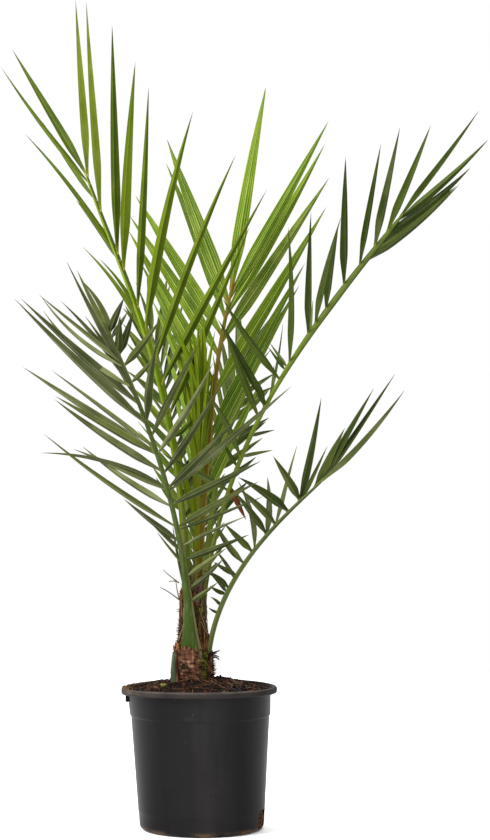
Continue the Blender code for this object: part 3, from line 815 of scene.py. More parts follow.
SPINES = (((-48, -20, 351), (-38, -16, 341), (-27, -12, 333)),
          ((-52, -26, 328), (-40, -22, 322), (-25, -14, 309)),
          ((-31, -18, 338), (-31, -16, 326), (-26, -12, 309)),
          ((-41, -18, 335), (-33, -17, 337), (-31, -16, 335)))
for spine in SPINES:
    line = bent(*(Vector(point) * MM for point in spine), 8)
    tube(hair, line, [(0.45 + 0.5 * step / 8) * MM for step in range(9)], 6, (0.6, 0.3, 0.6))
hair.piece("trunk_hair", fibre_finish(), "trunk_fibre", 80)


# ---------------------------------------------------------------------------------------
# Old leaf base: the stump of a leaf that was cut off, still green and smooth on its back,
# thin at its edges and dried to a tan line where it was torn from the stem.

STUB_FOOT, STUB_TOP = Vector((-31.8, -9, 197)) * MM, Vector((-31.6, -9, 241)) * MM


def stub_mesh(batch):
    """A flat tapering stalk, bowed outwards and cut slantwise at its top."""
    rings, sides = 26, 28
    points, place = [], []
    for ring in range(rings + 1):
        share = ring / rings
        centre = STUB_FOOT.lerp(STUB_TOP, share) - Vector((0.8 * MM * math.sin(math.pi * share), 0, 0))
        half, deep = (7.2 - 3.2 * share) * MM, (8.5 - 3.5 * share) * MM
        for side in range(sides):
            angle = math.tau * side / sides
            point = centre + Vector((math.cos(angle) * half, math.sin(angle) * deep, 0))
            if ring == rings:
                point.z += 4 * MM * math.cos(angle) + 1.2 * MM * noise.noise(Vector((angle * 2, 0, 0)))
            points.append(point)
            place.append((math.cos(angle), share, math.sin(angle)))
    batch.skin(points, sides, place, (0, 0, 0))


def stub_finish():
    """Leathery green, dull with bloom, dried brown along its inner edge and its cut."""
    finish = Finish("old_leaf_base", {"Specular IOR Level": 0.1})
    parts = finish.kept("place")
    lines = finish.grain(380, 4, (1, 1, 0.08))
    base = finish.mix(tint(66, 80, 50), tint(98, 110, 80), lines.rise(0.35, 0.65))
    base = finish.mix(base, tint(66, 74, 44), finish.grain(90, 4).rise(0.5, 0.75) * 0.6)
    dry = finish.mix(tint(92, 56, 38), tint(190, 146, 112), lines.rise(0.4, 0.6))
    base = finish.mix(base, dry, (parts + lines * 0.3).rise(0.24, 0.34))
    base = finish.mix(base, tint(104, 66, 44), parts.of("Y").rise(0.9, 0.99))
    return finish.coat(base, 0.5 + 0.2 * lines, lines, 0.0005, 0.5)


stump = Batch()
stub_mesh(stump)
leaf_base = stump.piece("old_leaf_base", stub_finish(), "old_leaf_base", 40)
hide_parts("leaf_stub")


# ---------------------------------------------------------------------------------------
# Fronds: nine feather leaves.  Each is a grooved stalk with two rows of stiff leaflets
# folded along their middles, joined to it by a pale swollen heel.  The outer leaves are
# grey with bloom, the young one in the centre is bright and pleated.

STATIONS = (0.0, 0.2, 0.45, 0.7, 1.0)
BROAD_SHARE, RIB_END = 0.35, 0.985
RIB_TIP, FOOT_FADE, FOOT_SPREAD, FOOT_DEPTH = 1.3, 0.065, 12.6, 8.5 * MM
RIB_RINGS, RIB_SIDES, BLADE_STEPS = 70, 16, 22

# A row grown by rule: how many leaflets, and their spread, lean and length at STATIONS.
Row = namedtuple("Row", "count spread lean length")
# first: share of the rib where leaflets start.  end: the last one's spread, lean, length.
Growth = namedtuple("Growth", "first width left right end")
# rib: foot, handles and tip in mm.  foot, petiole: radii in mm.  turn: of its broad plane,
# degrees.  opens: the side to which the folds open.  keel: how much deeper the rib gets
# towards its tip.  growth: its rule, where its leaflets don't stand singly in GROWN.
Frond = namedtuple("Frond", "name rib foot petiole seed look turn opens keel growth",
                   defaults=(0, 1, 0, None))
# deep, light, bloom: the leaflets' colours.  dusty: share of leaflets with much bloom.
# heel: colour of the leaflets' heels.  stalk: colours of the stalk from foot to tip.
# margin: colour of the blades' edges and how strong it is.  fold: how steeply a leaflet is
# folded, degrees.  sag: how far it hangs.  pleats: ribs pressed into each half, with painted
# shade in their valleys and painted highlights on their ridges.  stripe: strength of the pale
# stripes.  gloss: strength of the sheen.
Look = namedtuple("Look", "deep light bloom dusty heel stalk margin fold sag pleats stripe gloss")

GREY = Look(tint(51, 64, 20), tint(113, 124, 54), tint(182, 184, 141), 0.4, tint(161, 167, 94),
            (tint(66, 90, 26), tint(84, 104, 42), tint(122, 132, 76)),
            (tint(202, 200, 134), 0.3), 38, 0.004, 0, 0.12, 0.05)
TALL = Look(tint(63, 87, 0), tint(121, 146, 12), tint(175, 184, 84), 0.12, tint(190, 191, 70),
            (tint(108, 136, 16), tint(132, 165, 8), tint(150, 174, 44)),
            (tint(197, 195, 104), 0.3), 40, 0.0, 0, 0.2, 0.04)
DEEP = Look(tint(51, 71, 8), tint(101, 123, 34), tint(150, 160, 96), 0.3, tint(154, 162, 70),
            (tint(104, 120, 28), tint(126, 152, 34), tint(130, 152, 62)),
            (tint(165, 168, 96), 0.25), 38, 0.0, 0, 0.12, 0.05)
LOW = Look(tint(56, 72, 22), tint(104, 120, 48), tint(143, 147, 100), 0.25, tint(134, 143, 76),
           (tint(103, 117, 55), tint(110, 128, 61), tint(114, 130, 70)),
           (tint(168, 172, 110), 0.25), 38, 0.0, 0, 0.12, 0.05)
YOUNG = Look(tint(82, 130, 0), tint(146, 186, 0), tint(247, 249, 142), 0.1, tint(180, 146, 50),
             (tint(180, 157, 34), tint(166, 137, 46), tint(168, 99, 46)),
             (tint(240, 240, 140), 0.6), 22, 0.0, 3, 0.6, 0.03)
SPEAR = Look(tint(74, 109, 0), tint(154, 182, 12), tint(204, 210, 84), 0.1, tint(168, 114, 50),
             (tint(144, 128, 34), tint(132, 139, 20), tint(115, 135, 20)),
             (tint(168, 109, 56), 0.35), 34, 0.0, 0, 0.4, 0.03)
BACK = Look(tint(59, 81, 10), tint(119, 140, 32), tint(143, 151, 84), 0.1, tint(154, 159, 78),
            (tint(101, 112, 32), tint(114, 134, 40), tint(128, 146, 54)),
            (tint(176, 178, 100), 0.25), 34, 0.0, 0, 0.12, 0.04)

FRONDS = (
    Frond("frond_low_left", ((-11, -12, 228), (-9, -48, 430), (-81, -97, 589), (-122, -130, 681)),
          22, 4.1, 11, GREY),
    Frond("frond_tall_left", ((-19, -4, 300), (-13, -16, 591), (-108, 62, 748), (-161, 130, 898)),
          5, 5.4, 12, TALL),
    Frond("frond_high_right", ((3, -2, 292), (27.5, -20, 525), (143, 1, 672), (276, 60, 833)),
          3.5, 4.7, 13, DEEP, keel=1.0),
    Frond("frond_low_right", ((10, -4, 215), (16, -6, 330.5), (95, -40, 409.5), (163, -100, 473)),
          6, 4.4, 14, LOW),
    Frond("frond_young_centre", ((-2, 9.5, 305), (16, 20, 639), (30, 57, 663), (45, 70, 744)),
          5.5, 3.6, 15, YOUNG),
    Frond("frond_spear", ((-6, -1, 300), (-3, 2, 430), (0, 10, 530), (6, 16, 600)),
          5, 4.4, 16, SPEAR),
    Frond("frond_back_left", ((-10, 9, 262), (-18, 28, 430), (-45, 120, 590), (-76, 235, 684)),
          6, 4.2, 17, BACK, 24, -1, growth=Growth(
              0.30, 10,
              Row(14, (4, 0, 0, 2, 4), (62, 68, 70, 66, 58), (90, 170, 190, 190, 150)),
              Row(14, (50, 44, 36, 30, 12), (30, 34, 38, 42, 44), (90, 180, 220, 210, 150)),
              (4, 54, 140))),
    Frond("frond_back_right", ((2, 10, 262), (10, 30, 420), (34, 120, 560), (60, 225, 640)),
          6, 4.2, 18, BACK, -26, -1, growth=Growth(
              0.30, 10,
              Row(12, (50, 44, 36, 30, 14), (30, 34, 40, 46, 50), (90, 160, 190, 190, 160)),
              Row(12, (8, 6, 4, 2, 2), (66, 72, 74, 72, 62), (90, 150, 165, 165, 150)),
              (-4, 54, 140))),
    Frond("frond_back_low", ((-5, 10, 240), (-6, 50, 330), (-10, 150, 430), (0, 250, 470)),
          6.5, 3.8, 19, BACK, 0, -1, growth=Growth(
              0.28, 9,
              Row(13, (28, 26, 25, 24, 10), (52, 60, 62, 60, 55), (60, 120, 160, 160, 120)),
              Row(13, (50, 42, 35, 30, 12), (52, 60, 62, 60, 55), (60, 120, 160, 160, 120)),
              (0, 58, 120))),
)

# Leaflets that stand singly, in a frond's left row and then its right: each one's share of
# the rib, its bearing from upright and its lean in degrees, then its length, its bow to the
# right and its width in mm.
GROWN = {
    "frond_tall_left": (
        ((0.48, -33.1, 20, 196, 11.7, 7.6), (0.545, -32.6, 15, 122, 6.9, 6.2),
         (0.729, -35.6, 50, 188, 3, 15), (0.747, -37.2, 21, 242, 5.4, 7.1),
         (0.915, -34, 36, 187, -2, 7.1), (0.97, -36.9, 29, 262, -3.4, 7.2),
         (1, -30.8, 28, 258, 0, 11.9)),
        ((0.3, 45.7, 12, 44, 3, 7.5), (0.342, 23, 6, 287, 0.3, 11.6),
         (0.411, 28.2, 6, 309, -1.4, 11.6), (0.463, 21, 6, 311, -5.6, 11.6),
         (0.538, 11.8, 8, 318, -7.6, 14.8), (0.599, 2.6, 7, 314, 0.1, 11.4),
         (0.704, 3, 6, 296, -3.3, 15), (0.749, -1.5, 5, 326, -1.6, 13.9),
         (0.88, -4.1, 5, 301, -1.6, 12.7), (0.994, -4.1, 5, 254, -0.5, 13.1)),
    ),
    "frond_low_left": (
        ((0.138, -11.8, 5, 106, -2, 5.4), (0.227, -39.6, 10, 58, -0.7, 4.3),
         (0.261, -48.1, 16, 60, 0, 6.7), (0.285, -53.8, 24, 105, -1.3, 9.2),
         (0.323, -55.2, 6, 220, -4, 8), (0.377, -57, 22, 160, -4, 9.4),
         (0.422, -67.3, 25, 157, 2, 9.4), (0.43, -75.6, 25, 201, 13.5, 6.7),
         (0.475, -56.7, 14, 182, -2.7, 11.4), (0.524, -60.6, 16, 167, 0, 10.7),
         (0.527, -57.7, 19, 231, -1.1, 11.9), (0.54, -53.6, 25, 198, 1, 7.4),
         (0.617, -46.7, 6, 245, -2.9, 14.5), (0.68, -48.4, 9, 216, -1.7, 14.5),
         (0.682, -32.1, 12, 142, 2.6, 13.2), (0.731, -39.7, 12, 157, 4.6, 10.6),
         (0.737, -28, 10, 193, -2, 14.5), (0.739, -49.7, 20, 171, -10.6, 9.9),
         (0.811, -49.5, 20, 161, -9.5, 7.3), (0.825, -50.7, 10, 146, 0.7, 6.6),
         (0.929, -26.9, 8, 101, -1.3, 10.5), (0.933, -27.4, 8, 84, 5.9, 11.8)),
        ((0.134, 52.5, -37, 64, 0.4, 6.4), (0.165, 47.5, -29, 78, 2, 7.1),
         (0.197, 52.5, -43, 96, 0, 7.2), (0.239, 66.8, -37, 121, 1, 8.4),
         (0.273, 63.5, -35, 122, -2.6, 5), (0.316, 67, -38, 158, 0, 5.3),
         (0.323, 59.5, -40, 165, -1.8, 9.5), (0.385, 63.3, -40, 173, 0.5, 10),
         (0.419, 49.3, -6, 216, -0.4, 10), (0.428, 45, -46, 190, 0.5, 10),
         (0.47, 33.8, -43, 195, 1.6, 10), (0.528, 33, -46, 201, 2.8, 9.9),
         (0.58, 28.9, -42, 185, -2.3, 9.9), (0.625, 10.4, -48, 163, -3.8, 14),
         (0.755, 44.8, -44, 67, 1.2, 6.7), (0.816, 40.6, -40, 99, 1.1, 10.2),
         (0.858, 19.3, -20, 63, 0.7, 10.4), (0.866, 4.9, -30, 55, 0, 10.4),
         (0.926, 32.1, -10, 42, 0, 6.5), (0.947, 23.5, -10, 51, -0.7, 9.8)),
    ),
    "frond_high_right": (
        ((0.26, -60, -26, 113, -0.9, 9.1), (0.316, -30, -28, 44, 0, 6.4),
         (0.338, -27.9, -29, 118, 4.5, 9), (0.436, -21.4, -30, 152, -0.4, 10.2),
         (0.464, -26, -30, 65, 4.1, 9.9), (0.472, -30.1, -30, 149, 0.5, 10.2),
         (0.536, -36, -30, 152, -2.9, 10.2), (0.578, -1.2, -26, 200, 4.3, 10.2),
         (0.657, 0.4, -29, 183, 0, 11.6), (0.685, 12.7, -29, 165, -1.9, 12),
         (0.728, 7.3, -28, 131, -1.8, 12), (0.797, -0.5, -25, 186, -0.3, 12),
         (0.854, 9.1, -20, 174, -0.1, 10.1), (0.909, 11.2, -16, 170, 0.2, 13.5),
         (0.953, 21.8, -13, 159, 0.7, 12.8), (1, 36.5, -10, 180, 1.7, 12.6)),
        ((0.339, 79.2, 48, 67, 0, 5.5), (0.39, 76.7, 50, 55, 0, 5.4),
         (0.485, 11.2, 52, 177, 1.4, 6.4), (0.498, 5.1, 50, 63, 0, 5.5),
         (0.56, -35.2, 40, 53, 0, 4.8), (0.568, -34.1, 40, 54, 0, 4.8),
         (0.66, 8.2, 55, 88, 0, 5.5), (0.867, 50.4, 26, 202, 5.6, 11.8),
         (0.904, 51.9, 22, 163, 3.5, 11.8), (0.948, 51.3, 14, 160, 4.8, 11.8),
         (0.989, 48.1, 10, 177, 3.5, 10.4)),
    ),
    "frond_low_right": (
        ((0.241, -59.5, -20, 16, -0.9, 3.8), (0.273, -47.7, -22, 21, 1.3, 4.4),
         (0.329, -60.3, -25, 28, -1.6, 6), (0.357, -53.5, -27, 49, 3.3, 7.2),
         (0.425, -57.8, -30, 42, -1.2, 7.2), (0.486, -33, -25, 81, -4, 8.7),
         (0.55, -43.8, -22, 60, -0.7, 9.4), (0.65, -36.8, -25, 85, 1.3, 9.3),
         (0.71, -45.3, -22, 76, 1.3, 10), (0.792, -55.2, -20, 87, 2, 12.9),
         (0.859, 12, 0, 141, 1.3, 11.4), (0.863, -30.9, -12, 71, 0.7, 11.4),
         (0.869, 26.4, 5, 80, 0, 7.6)),
        ((0.336, -44.6, 50, 61, 1.4, 6.1), (0.406, -36.3, 50, 74, 1.4, 6.1),
         (0.562, -13.8, 50, 144, 6.8, 9), (0.647, 1.8, 52, 123, 2, 11.3),
         (0.707, 17, 52, 177, -1.4, 10), (0.953, 27.6, 10, 90, -1.3, 13.7),
         (0.963, 31.2, 14, 155, -0.7, 13.8), (0.98, 35.6, 18, 188, 0.7, 12.9),
         (1, 42.9, 12, 166, 4, 13.7)),
    ),
    "frond_young_centre": (
        ((0.162, -16.5, 30, 190, 0, 15.6), (0.221, -19.9, 30, 213, 1.4, 15.7),
         (0.301, -23.5, 30, 240, 2.8, 17.3), (0.384, -27.1, 32, 272, 2.8, 17.4),
         (0.45, -29.3, 34, 313, 0, 19.1), (0.571, -32.4, 32, 284, 1.4, 19.8),
         (0.673, -31.5, 30, 278, 0, 18.3), (0.773, -20.7, 28, 276, 2.1, 15.1),
         (0.87, -20.3, 24, 280, 0, 21.4)),
        ((0.162, 25.7, 30, 211, 0, 15.6), (0.216, 24.7, 28, 247, 0, 17.2),
         (0.253, 28.2, 22, 293, -1.4, 15.7), (0.289, 28.3, 22, 305, -2.1, 17.3),
         (0.415, 30.5, 26, 350, 0, 21.4), (0.633, 32.7, 24, 311, 0, 19),
         (0.791, 29.5, 18, 298, 0.7, 16.6), (0.904, 28.8, 14, 299, 0, 16.6),
         (0.953, 9.6, 14, 300, -2.8, 19.3), (0.987, 9.4, 16, 300, -2.5, 18.4)),
    ),
}
SPEAR_LEAFLETS, SPEAR_START, SPEAR_REACH = 13, 0.30, 0.66


def spear_rows():
    """The spear's two rows of closed leaflets: steep, uneven, and shorter towards its tip."""
    chance = random.Random(21)
    left, right = [], []
    for number in range(SPEAR_LEAFLETS):
        for row, least, most in ((left, -2, -20), (right, -3, 9)):
            along = SPEAR_START + SPEAR_REACH * (number + chance.uniform(0.1, 0.9)) / SPEAR_LEAFLETS
            angle, lean = chance.uniform(least, most), chance.uniform(0, 10)
            length = chance.uniform(120, 165) * (1 - 0.35 * max(0, along - 0.6) / 0.4)
            bow, width = chance.uniform(-3, 3), chance.uniform(7, 10)
            row.append((round(along, 3), round(angle, 1), round(lean),
                        round(length), round(bow, 1), round(width, 1)))
    return left, right


GROWN["frond_spear"] = spear_rows()


def at_station(sizes, share):
    """A row's size at a share of the leafy length, between its named stations."""
    for index in range(len(STATIONS) - 1):
        start, end = STATIONS[index], STATIONS[index + 1]
        if share <= end:
            part = (share - start) / (end - start)
            return sizes[index] + (sizes[index + 1] - sizes[index]) * part
    return sizes[-1]


def bezier(points, share):
    """Point on the cubic curve through foot, two handles and tip."""
    rest = 1 - share
    weights = (rest ** 3, 3 * rest ** 2 * share, 3 * rest * share ** 2, share ** 3)
    return sum((point * weight for point, weight in zip(points, weights)), Vector())


def bezier_heading(points, share):
    """Unit direction of the same curve."""
    rest = 1 - share
    weights = (3 * rest ** 2, 6 * rest * share, 3 * share ** 2)
    steps = (points[i + 1] - points[i] for i in range(3))
    return sum((step * weight for step, weight in zip(steps, weights)), Vector()).normalized()


def rib_points(frond):
    """A frond's foot, handles and tip in metres."""
    return [Vector(point) * MM for point in frond.rib]


def rib_radius(frond, share):
    """Radius of a stalk: swollen at the foot, even along the petiole, fine at the tip."""
    even = RIB_TIP + (frond.petiole - RIB_TIP) * (1 - share) ** 0.4
    swell = min((frond.foot - even) * math.exp(-share / FOOT_FADE), FOOT_SPREAD)
    return (even + max(swell, 0)) * MM


def leaflet_places(frond):
    """Each leaflet of a frond: root, rib's heading, angle, lean, length, width and bow."""
    points = rib_points(frond)
    for row in GROWN.get(frond.name, ()):
        for along, angle, lean, length, bow, width in row:
            at, heading = bezier(points, along), bezier_heading(points, along)
            yield at, heading, angle, lean, length * MM, width * MM, bow * MM
    growth = frond.growth
    if growth is None:
        return
    chance = random.Random(frond.seed)
    back = Matrix.Rotation(math.radians(-frond.turn), 3, "Z")

    def place(along, spread, lean, length):
        rib_heading = bezier_heading(points, along)
        flat = back @ rib_heading
        angle = math.degrees(math.atan2(flat.x, flat.z)) + spread
        width = growth.width * MM * min(1, 0.45 + length / 250) * chance.uniform(0.9, 1.08)
        bow = length * MM * chance.uniform(-0.02, 0.03)
        return bezier(points, along), rib_heading, angle, lean, length * MM, width, bow

    yield place(RIB_END, *growth.end)
    for row, sign in ((growth.left, -1), (growth.right, 1)):
        for number in range(row.count):
            share = (number + 0.5 + chance.uniform(-0.25, 0.25)) / row.count
            along = growth.first + (RIB_END - growth.first) * share
            spread = sign * (at_station(row.spread, share) + chance.uniform(-3, 3))
            lean = at_station(row.lean, share) + chance.uniform(-4, 4)
            length = at_station(row.length, share) * chance.uniform(0.93, 1.05)
            yield place(along, spread, lean, length)


def leaflet_heading(turn, angle, lean):
    """Unit heading from its angle in the broad plane and its lean out of it."""
    angle, lean = math.radians(angle), math.radians(lean)
    flat = Vector((math.sin(angle) * math.cos(lean), math.sin(lean), math.cos(angle) * math.cos(lean)))
    return turn @ flat


def leaflet_side(heading, rib_heading, turn, angle, opens):
    """Unit direction across a leaflet: part along the rib, part in the broad plane, with
    the leaflet's fold opening to the back of the plant or to its front."""
    angle = math.radians(angle)
    broad = turn @ Vector((math.cos(angle), 0, -math.sin(angle)))
    along_rib = rib_heading - heading * rib_heading.dot(heading)
    if along_rib.dot(broad) < 0:
        broad.negate()
    side = (along_rib + broad * BROAD_SHARE).normalized()
    return side if heading.cross(side).y * opens > 0 else -side


def blade_width(share):
    """Half-outline of a leaflet: narrow heel, widest near a quarter, long fine point."""
    if share < 0.26:
        part = share / 0.26
        return 0.30 + 0.70 * part * part * (3 - 2 * part)
    part = (share - 0.26) / 0.74
    return (1 - part ** 2.1) * (1 - 0.22 * part)


def blade(batch, root, heading, side, length, width, bow, look, chance):
    """A leaflet: a closed thin blade, folded, a little twisted, and pleated if young."""
    twist = math.radians(chance.uniform(-16, 16))
    hook = side * (length * chance.uniform(-0.008, 0.008))
    sag = Vector((0, 0, look.sag * length * chance.uniform(0.4, 1.6)))
    sides_of_fold = 6 if look.pleats else 3
    across = [column / sides_of_fold for column in range(-sides_of_fold, sides_of_fold + 1)]
    points, place = [], []
    thick = 0.22 * MM + width * 0.012
    for step in range(BLADE_STEPS + 1):
        share = step / BLADE_STEPS
        half = width / 2 * blade_width(share) + 0.12 * MM * (step < BLADE_STEPS)
        turn = Matrix.Rotation(twist * share, 3, heading)
        sideways = turn @ side
        face = heading.cross(sideways)
        centre = root + heading * (length * share) + hook * (share ** 3 - share)
        centre += (bow - sag) * (4 * share * (1 - share))
        slope = math.tan(math.radians(look.fold * (1 - 0.45 * share)))
        body = thick * (1 - 0.6 * share)
        for u, deep in [(u, 0) for u in across] + [(u, 1) for u in reversed(across[1:-1])]:
            rise = (abs(u) - 0.5) * slope + 0.05 * math.sin(math.pi * abs(u))
            rise += 0.05 * math.cos(math.tau * look.pleats * u) * (look.pleats > 0) * (1 - 0.7 * share)
            sunk = deep * body * (1 + 1.6 * (1 - abs(u)) ** 4)
            points.append(centre + sideways * (half * u) + face * (half * rise - sunk))
            place.append((u, share, 1 - 2 * deep))
    dusty = chance.random() < look.dusty
    lot = (chance.random(), chance.uniform(0.5, 1) if dusty else chance.uniform(0, 0.25), chance.random())
    batch.skin(points, 2 * len(across) - 2, place, lot)


def heel(batch, root, heading, side, width):
    """The swollen heel that joins a leaflet to its stalk."""
    face = heading.cross(side)
    points = []
    for ball_point in BALL_POINTS:
        shift = heading * (ball_point.x * 3.6 + 1.4) * MM
        shift += side * (ball_point.y * width * 0.27) + face * (ball_point.z * 1.1 * MM)
        points.append(root + shift)
    batch.add(points, BALL_FACES, [(0, 0, 0)] * len(points), (0, 0, 0))


def stalk(batch, frond):
    """Petiole and rib: rounded on its back, grooved on its face, sharp at its two edges."""
    curve = rib_points(frond)
    inward = TRUNK_AXIS - curve[0]
    outward = curve[3] - curve[0]
    inward.z = outward.z = 0
    inward.normalize()
    outward.normalize()
    points, place = [], []
    for ring in range(RIB_RINGS + 1):
        share = ring / RIB_RINGS
        heading = bezier_heading(curve, share)
        part = min(share * 3, 1)
        face = inward * (1 - part) + (Vector((0, 0, 1)) - outward * 0.6) * part
        face = (face - heading * face.dot(heading)).normalized()
        sideways = heading.cross(face)
        radius = rib_radius(frond, share)
        for index in range(RIB_SIDES):
            angle = math.tau * index / RIB_SIDES
            across, up = math.cos(angle), math.sin(angle)
            across = math.copysign(abs(across) ** 0.85, across)
            deep = up * 0.92 if up < 0 else up * 0.62 - 0.30 * up * math.exp(-(across * 2.2) ** 2)
            depth = min(radius * (1 + frond.keel * min(max(share - 0.5, 0) * 4, 1)), FOOT_DEPTH)
            points.append(bezier(curve, share) + sideways * (radius * across * 1.08) + face * (depth * deep))
            place.append((across, share, up))
    batch.skin(points, RIB_SIDES, place, (0, 0, 0))


def leaf_finish(name, look):
    """Leaflet skin: two greens and a grey bloom dealt out by leaflet, fine veins along it,
    a pale edge and middle, and a dry point.  Painted shade darkens one half of each leaflet,
    and on pleated leaflets painted shade lies in the valleys and painted highlights on the ridges."""
    finish = Finish(name, {"Specular IOR Level": look.gloss})
    across = finish.kept("place")
    along = across.of("Y")
    tone = finish.kept("lot")
    bloomed, age_and_shaded_half = tone.of("Y"), tone.of("Z")
    out = abs(across)
    lines = {"W": across * 9 + tone * 50, "Scale": 1, "Detail": 2}
    vein = finish.node("ShaderNodeTexNoise", {"noise_dimensions": "1D"}, lines)
    clouds = finish.grain(26, 4)
    base = finish.mix(look.deep, look.light, (tone * 0.7 + clouds * 0.9 - 0.35).rise(0.0, 1.0))
    base = finish.mix(base, look.bloom, bloomed * (0.10 + 0.38 * clouds.rise(0.35, 0.7)))
    # Painted shade: one half of each leaflet, left or right as its lot deals, is darkened towards the deep
    # green.
    base = finish.mix(base, look.deep, (across * (age_and_shaded_half * 2 - 1)).rise(0.0, 0.03) * 0.5)
    base = finish.mix(base, look.bloom, vein.rise(0.60, 0.68) * look.stripe)
    if look.pleats:
        # Painted shade in the pleats' valleys and painted highlights along their ridges.
        ridge = across.maths("COSINE", across * (math.tau * look.pleats), 0)
        base = finish.mix(base, look.deep, (0 - ridge).rise(0.0, 0.9) * 0.6)
        base = finish.mix(base, look.bloom, ridge.rise(0.86, 0.99) * 0.5)
    base = finish.mix(base, look.bloom, (1 - out.rise(0.02, 0.10)) * 0.35)
    base = finish.mix(base, look.margin[0], out.rise(0.86, 0.96) * look.margin[1])
    base = finish.mix(base, look.heel, 1 - along.rise(0.0, 0.06))
    dry = along.rise(0.955, 0.985) * age_and_shaded_half.rise(0.35, 0.5)
    base = finish.mix(base, tint(120, 88, 56), dry * 0.85)
    roughness = 0.42 + 0.2 * bloomed + 0.12 * clouds
    return finish.coat(base, roughness, vein, 0.0003, 0.5)


def stalk_finish(name, look):
    """Stalk skin: its colour passes from foot to tip, with pale edges and a scurfy bloom."""
    finish = Finish(name, {"Specular IOR Level": 0.06})
    across = finish.kept("place")
    along = across.of("Y")
    foot, middle, tip = look.stalk
    lines = finish.grain(300, 3, (1, 1, 0.1))
    clouds = finish.grain(30, 4)
    base = finish.mix(foot, middle, along.rise(0.0, 0.25))
    base = finish.mix(base, tip, along.rise(0.6, 0.8))
    base = finish.mix(base, tint(150, 112, 84), (1 - along.rise(0.012, 0.04)) * lines.rise(0.3, 0.5))
    base = finish.mix(base, look.deep, clouds.rise(0.45, 0.75) * 0.35)
    base = finish.mix(base, look.bloom, lines.rise(0.5, 0.7) * 0.14)
    base = finish.mix(base, look.deep, abs(across.of("Z")).rise(0.45, 0.8) * along.rise(0.5, 0.75) * 0.8)
    margin = abs(across) + (1 - along.rise(0.03, 0.25)) * 0.03
    edge = finish.mix(tint(178, 146, 108), tint(176, 168, 96), along.rise(0.05, 0.2))
    edge = finish.mix(edge, tip, along.rise(0.12, 0.35) * 0.8)
    base = finish.mix(base, edge, margin.rise(0.92, 0.98) * 0.65)
    return finish.coat(base, 0.42 + 0.2 * clouds, lines, 0.0003, 0.4)


def heel_finish(name, look):
    """Heel skin: the pale waxy green of the leaflets' joints."""
    finish = Finish(name, {"Specular IOR Level": 0.1})
    clouds = finish.grain(240, 3)
    base = finish.mix(look.heel, look.light, clouds.rise(0.5, 0.8) * 0.6)
    return finish.coat(base, 0.45 + 0.2 * clouds, clouds, 0.0003, 0.3)


LOOKS = {"grey": GREY, "tall": TALL, "deep": DEEP, "low": LOW, "young": YOUNG, "spear": SPEAR, "back": BACK}
leaf_skins = {look: leaf_finish(name + "_leaflet", look) for name, look in LOOKS.items()}
stalk_skins = {look: stalk_finish(name + "_stalk", look) for name, look in LOOKS.items()}
heel_skins = {look: heel_finish(name + "_heel", look) for name, look in LOOKS.items()}

for frond in FRONDS:
    slot_name = "young_green" if frond.look in (YOUNG, SPEAR) else "frond_green"
    turn = Matrix.Rotation(math.radians(frond.turn), 3, "Z")
    chance = random.Random(frond.seed * 7)
    leaflets, stem, heels = Batch(), Batch(), Batch()
    stalk(stem, frond)
    for root, rib_heading, angle, lean, length, width, bow in leaflet_places(frond):
        heading = leaflet_heading(turn, angle, lean)
        side = leaflet_side(heading, rib_heading, turn, angle, frond.opens)
        right = turn @ Vector((math.cos(math.radians(angle)), 0, -math.sin(math.radians(angle))))
        blade(leaflets, root, heading, side, length, width, right * bow, frond.look, chance)
        heel(heels, root, heading, side, min(width, 9 * MM))
    leaves = leaflets.piece(frond.name + "_leaflets", leaf_skins[frond.look], slot_name, 30)
    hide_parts(frond.name)
    stem_piece = stem.piece(frond.name + "_stalk", stalk_skins[frond.look], slot_name, 60)
    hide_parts(frond.name)
    heels.piece(frond.name + "_heels", heel_skins[frond.look], slot_name, 80)

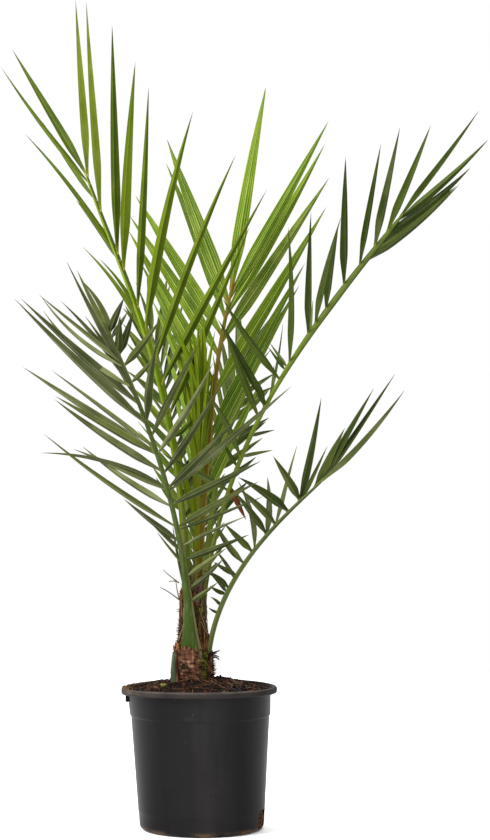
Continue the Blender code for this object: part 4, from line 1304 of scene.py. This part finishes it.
# One leaflet low on the high right frond has withered: it hangs down, dry and red-brown.
WITHERED = Look(tint(92, 46, 26), tint(160, 84, 48), tint(150, 130, 70), 0.0, tint(150, 140, 50),
                None, (tint(96, 100, 40), 0.5), 30, 0.02, 0, 0.3, 0.04)
WITHERED_SHARE, WITHERED_ANGLE, WITHERED_LEAN = 0.27, 154, -12
WITHERED_LENGTH, WITHERED_WIDTH = 52 * MM, 8.5 * MM
withered, curve, level = Batch(), rib_points(FRONDS[2]), Matrix.Identity(3)
heading = leaflet_heading(level, WITHERED_ANGLE, WITHERED_LEAN)
side = leaflet_side(heading, bezier_heading(curve, WITHERED_SHARE), level, WITHERED_ANGLE, 1)
root = bezier(curve, WITHERED_SHARE)
blade(withered, root, heading, side, WITHERED_LENGTH, WITHERED_WIDTH, Vector(), WITHERED, random.Random(3))
withered.piece("withered_leaflet", leaf_finish("withered_leaflet", WITHERED), "frond_green", 30)


# ---------------------------------------------------------------------------------------
# Studio: a plain pale floor, a bright even surround, a soft key from the upper left and a
# fill from the right.  The camera is level and stands back from the plant.

CAMERA_PLACE = (62 * MM, -3.3, 553 * MM)
CAMERA_LENS, SENSOR = 104.36, 36        # in mm
AIM = Vector((0, 0, 0.6))
LAMPS = (           # name, place and size in metres, power in watts
    ("key", (-2.3, -1.5, 2.5), 1.2, 210),
    ("fill", (2.4, -2.0, 1.6), 1.6, 14),
    ("top", (0.2, 0.9, 3.0), 1.6, 90),
)

floor_mesh = bpy.data.meshes.new("floor")
floor_mesh.from_pydata([(-2, -2, 0), (2, -2, 0), (2, 2, 0), (-2, 2, 0)], [], [(0, 1, 2, 3)])
floor = bpy.data.objects.new("floor", floor_mesh)
bpy.context.scene.collection.objects.link(floor)
floor_paint = Finish("floor_paint", {"Base Color": (0.8, 0.8, 0.8, 1), "Roughness": 0.9})
floor_mesh.materials.append(floor_paint.material)
floor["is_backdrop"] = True

world = bpy.data.worlds.new("surround")
bpy.context.scene.world = world
world.use_nodes = True
world.node_tree.nodes["Background"].inputs["Color"].default_value = (1, 1, 1, 1)
world.node_tree.nodes["Background"].inputs["Strength"].default_value = 1.0

for name, place, size, power in LAMPS:
    lamp = bpy.data.lights.new(name, "AREA")
    lamp.size = size
    lamp.energy = power
    holder = bpy.data.objects.new(name, lamp)
    holder.location = place
    aim = AIM - Vector(place)
    holder.rotation_mode = "QUATERNION"
    holder.rotation_quaternion = aim.to_track_quat("-Z", "Y")
    bpy.context.scene.collection.objects.link(holder)

bpy.context.scene.view_settings.view_transform = "Standard"
lens = bpy.data.cameras.new("camera")
lens.lens = CAMERA_LENS
lens.sensor_width = SENSOR
camera = bpy.data.objects.new("camera", lens)
camera.location = CAMERA_PLACE
camera.rotation_euler = (math.radians(90), 0, 0)
bpy.context.scene.collection.objects.link(camera)
bpy.context.scene.camera = camera

low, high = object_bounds()
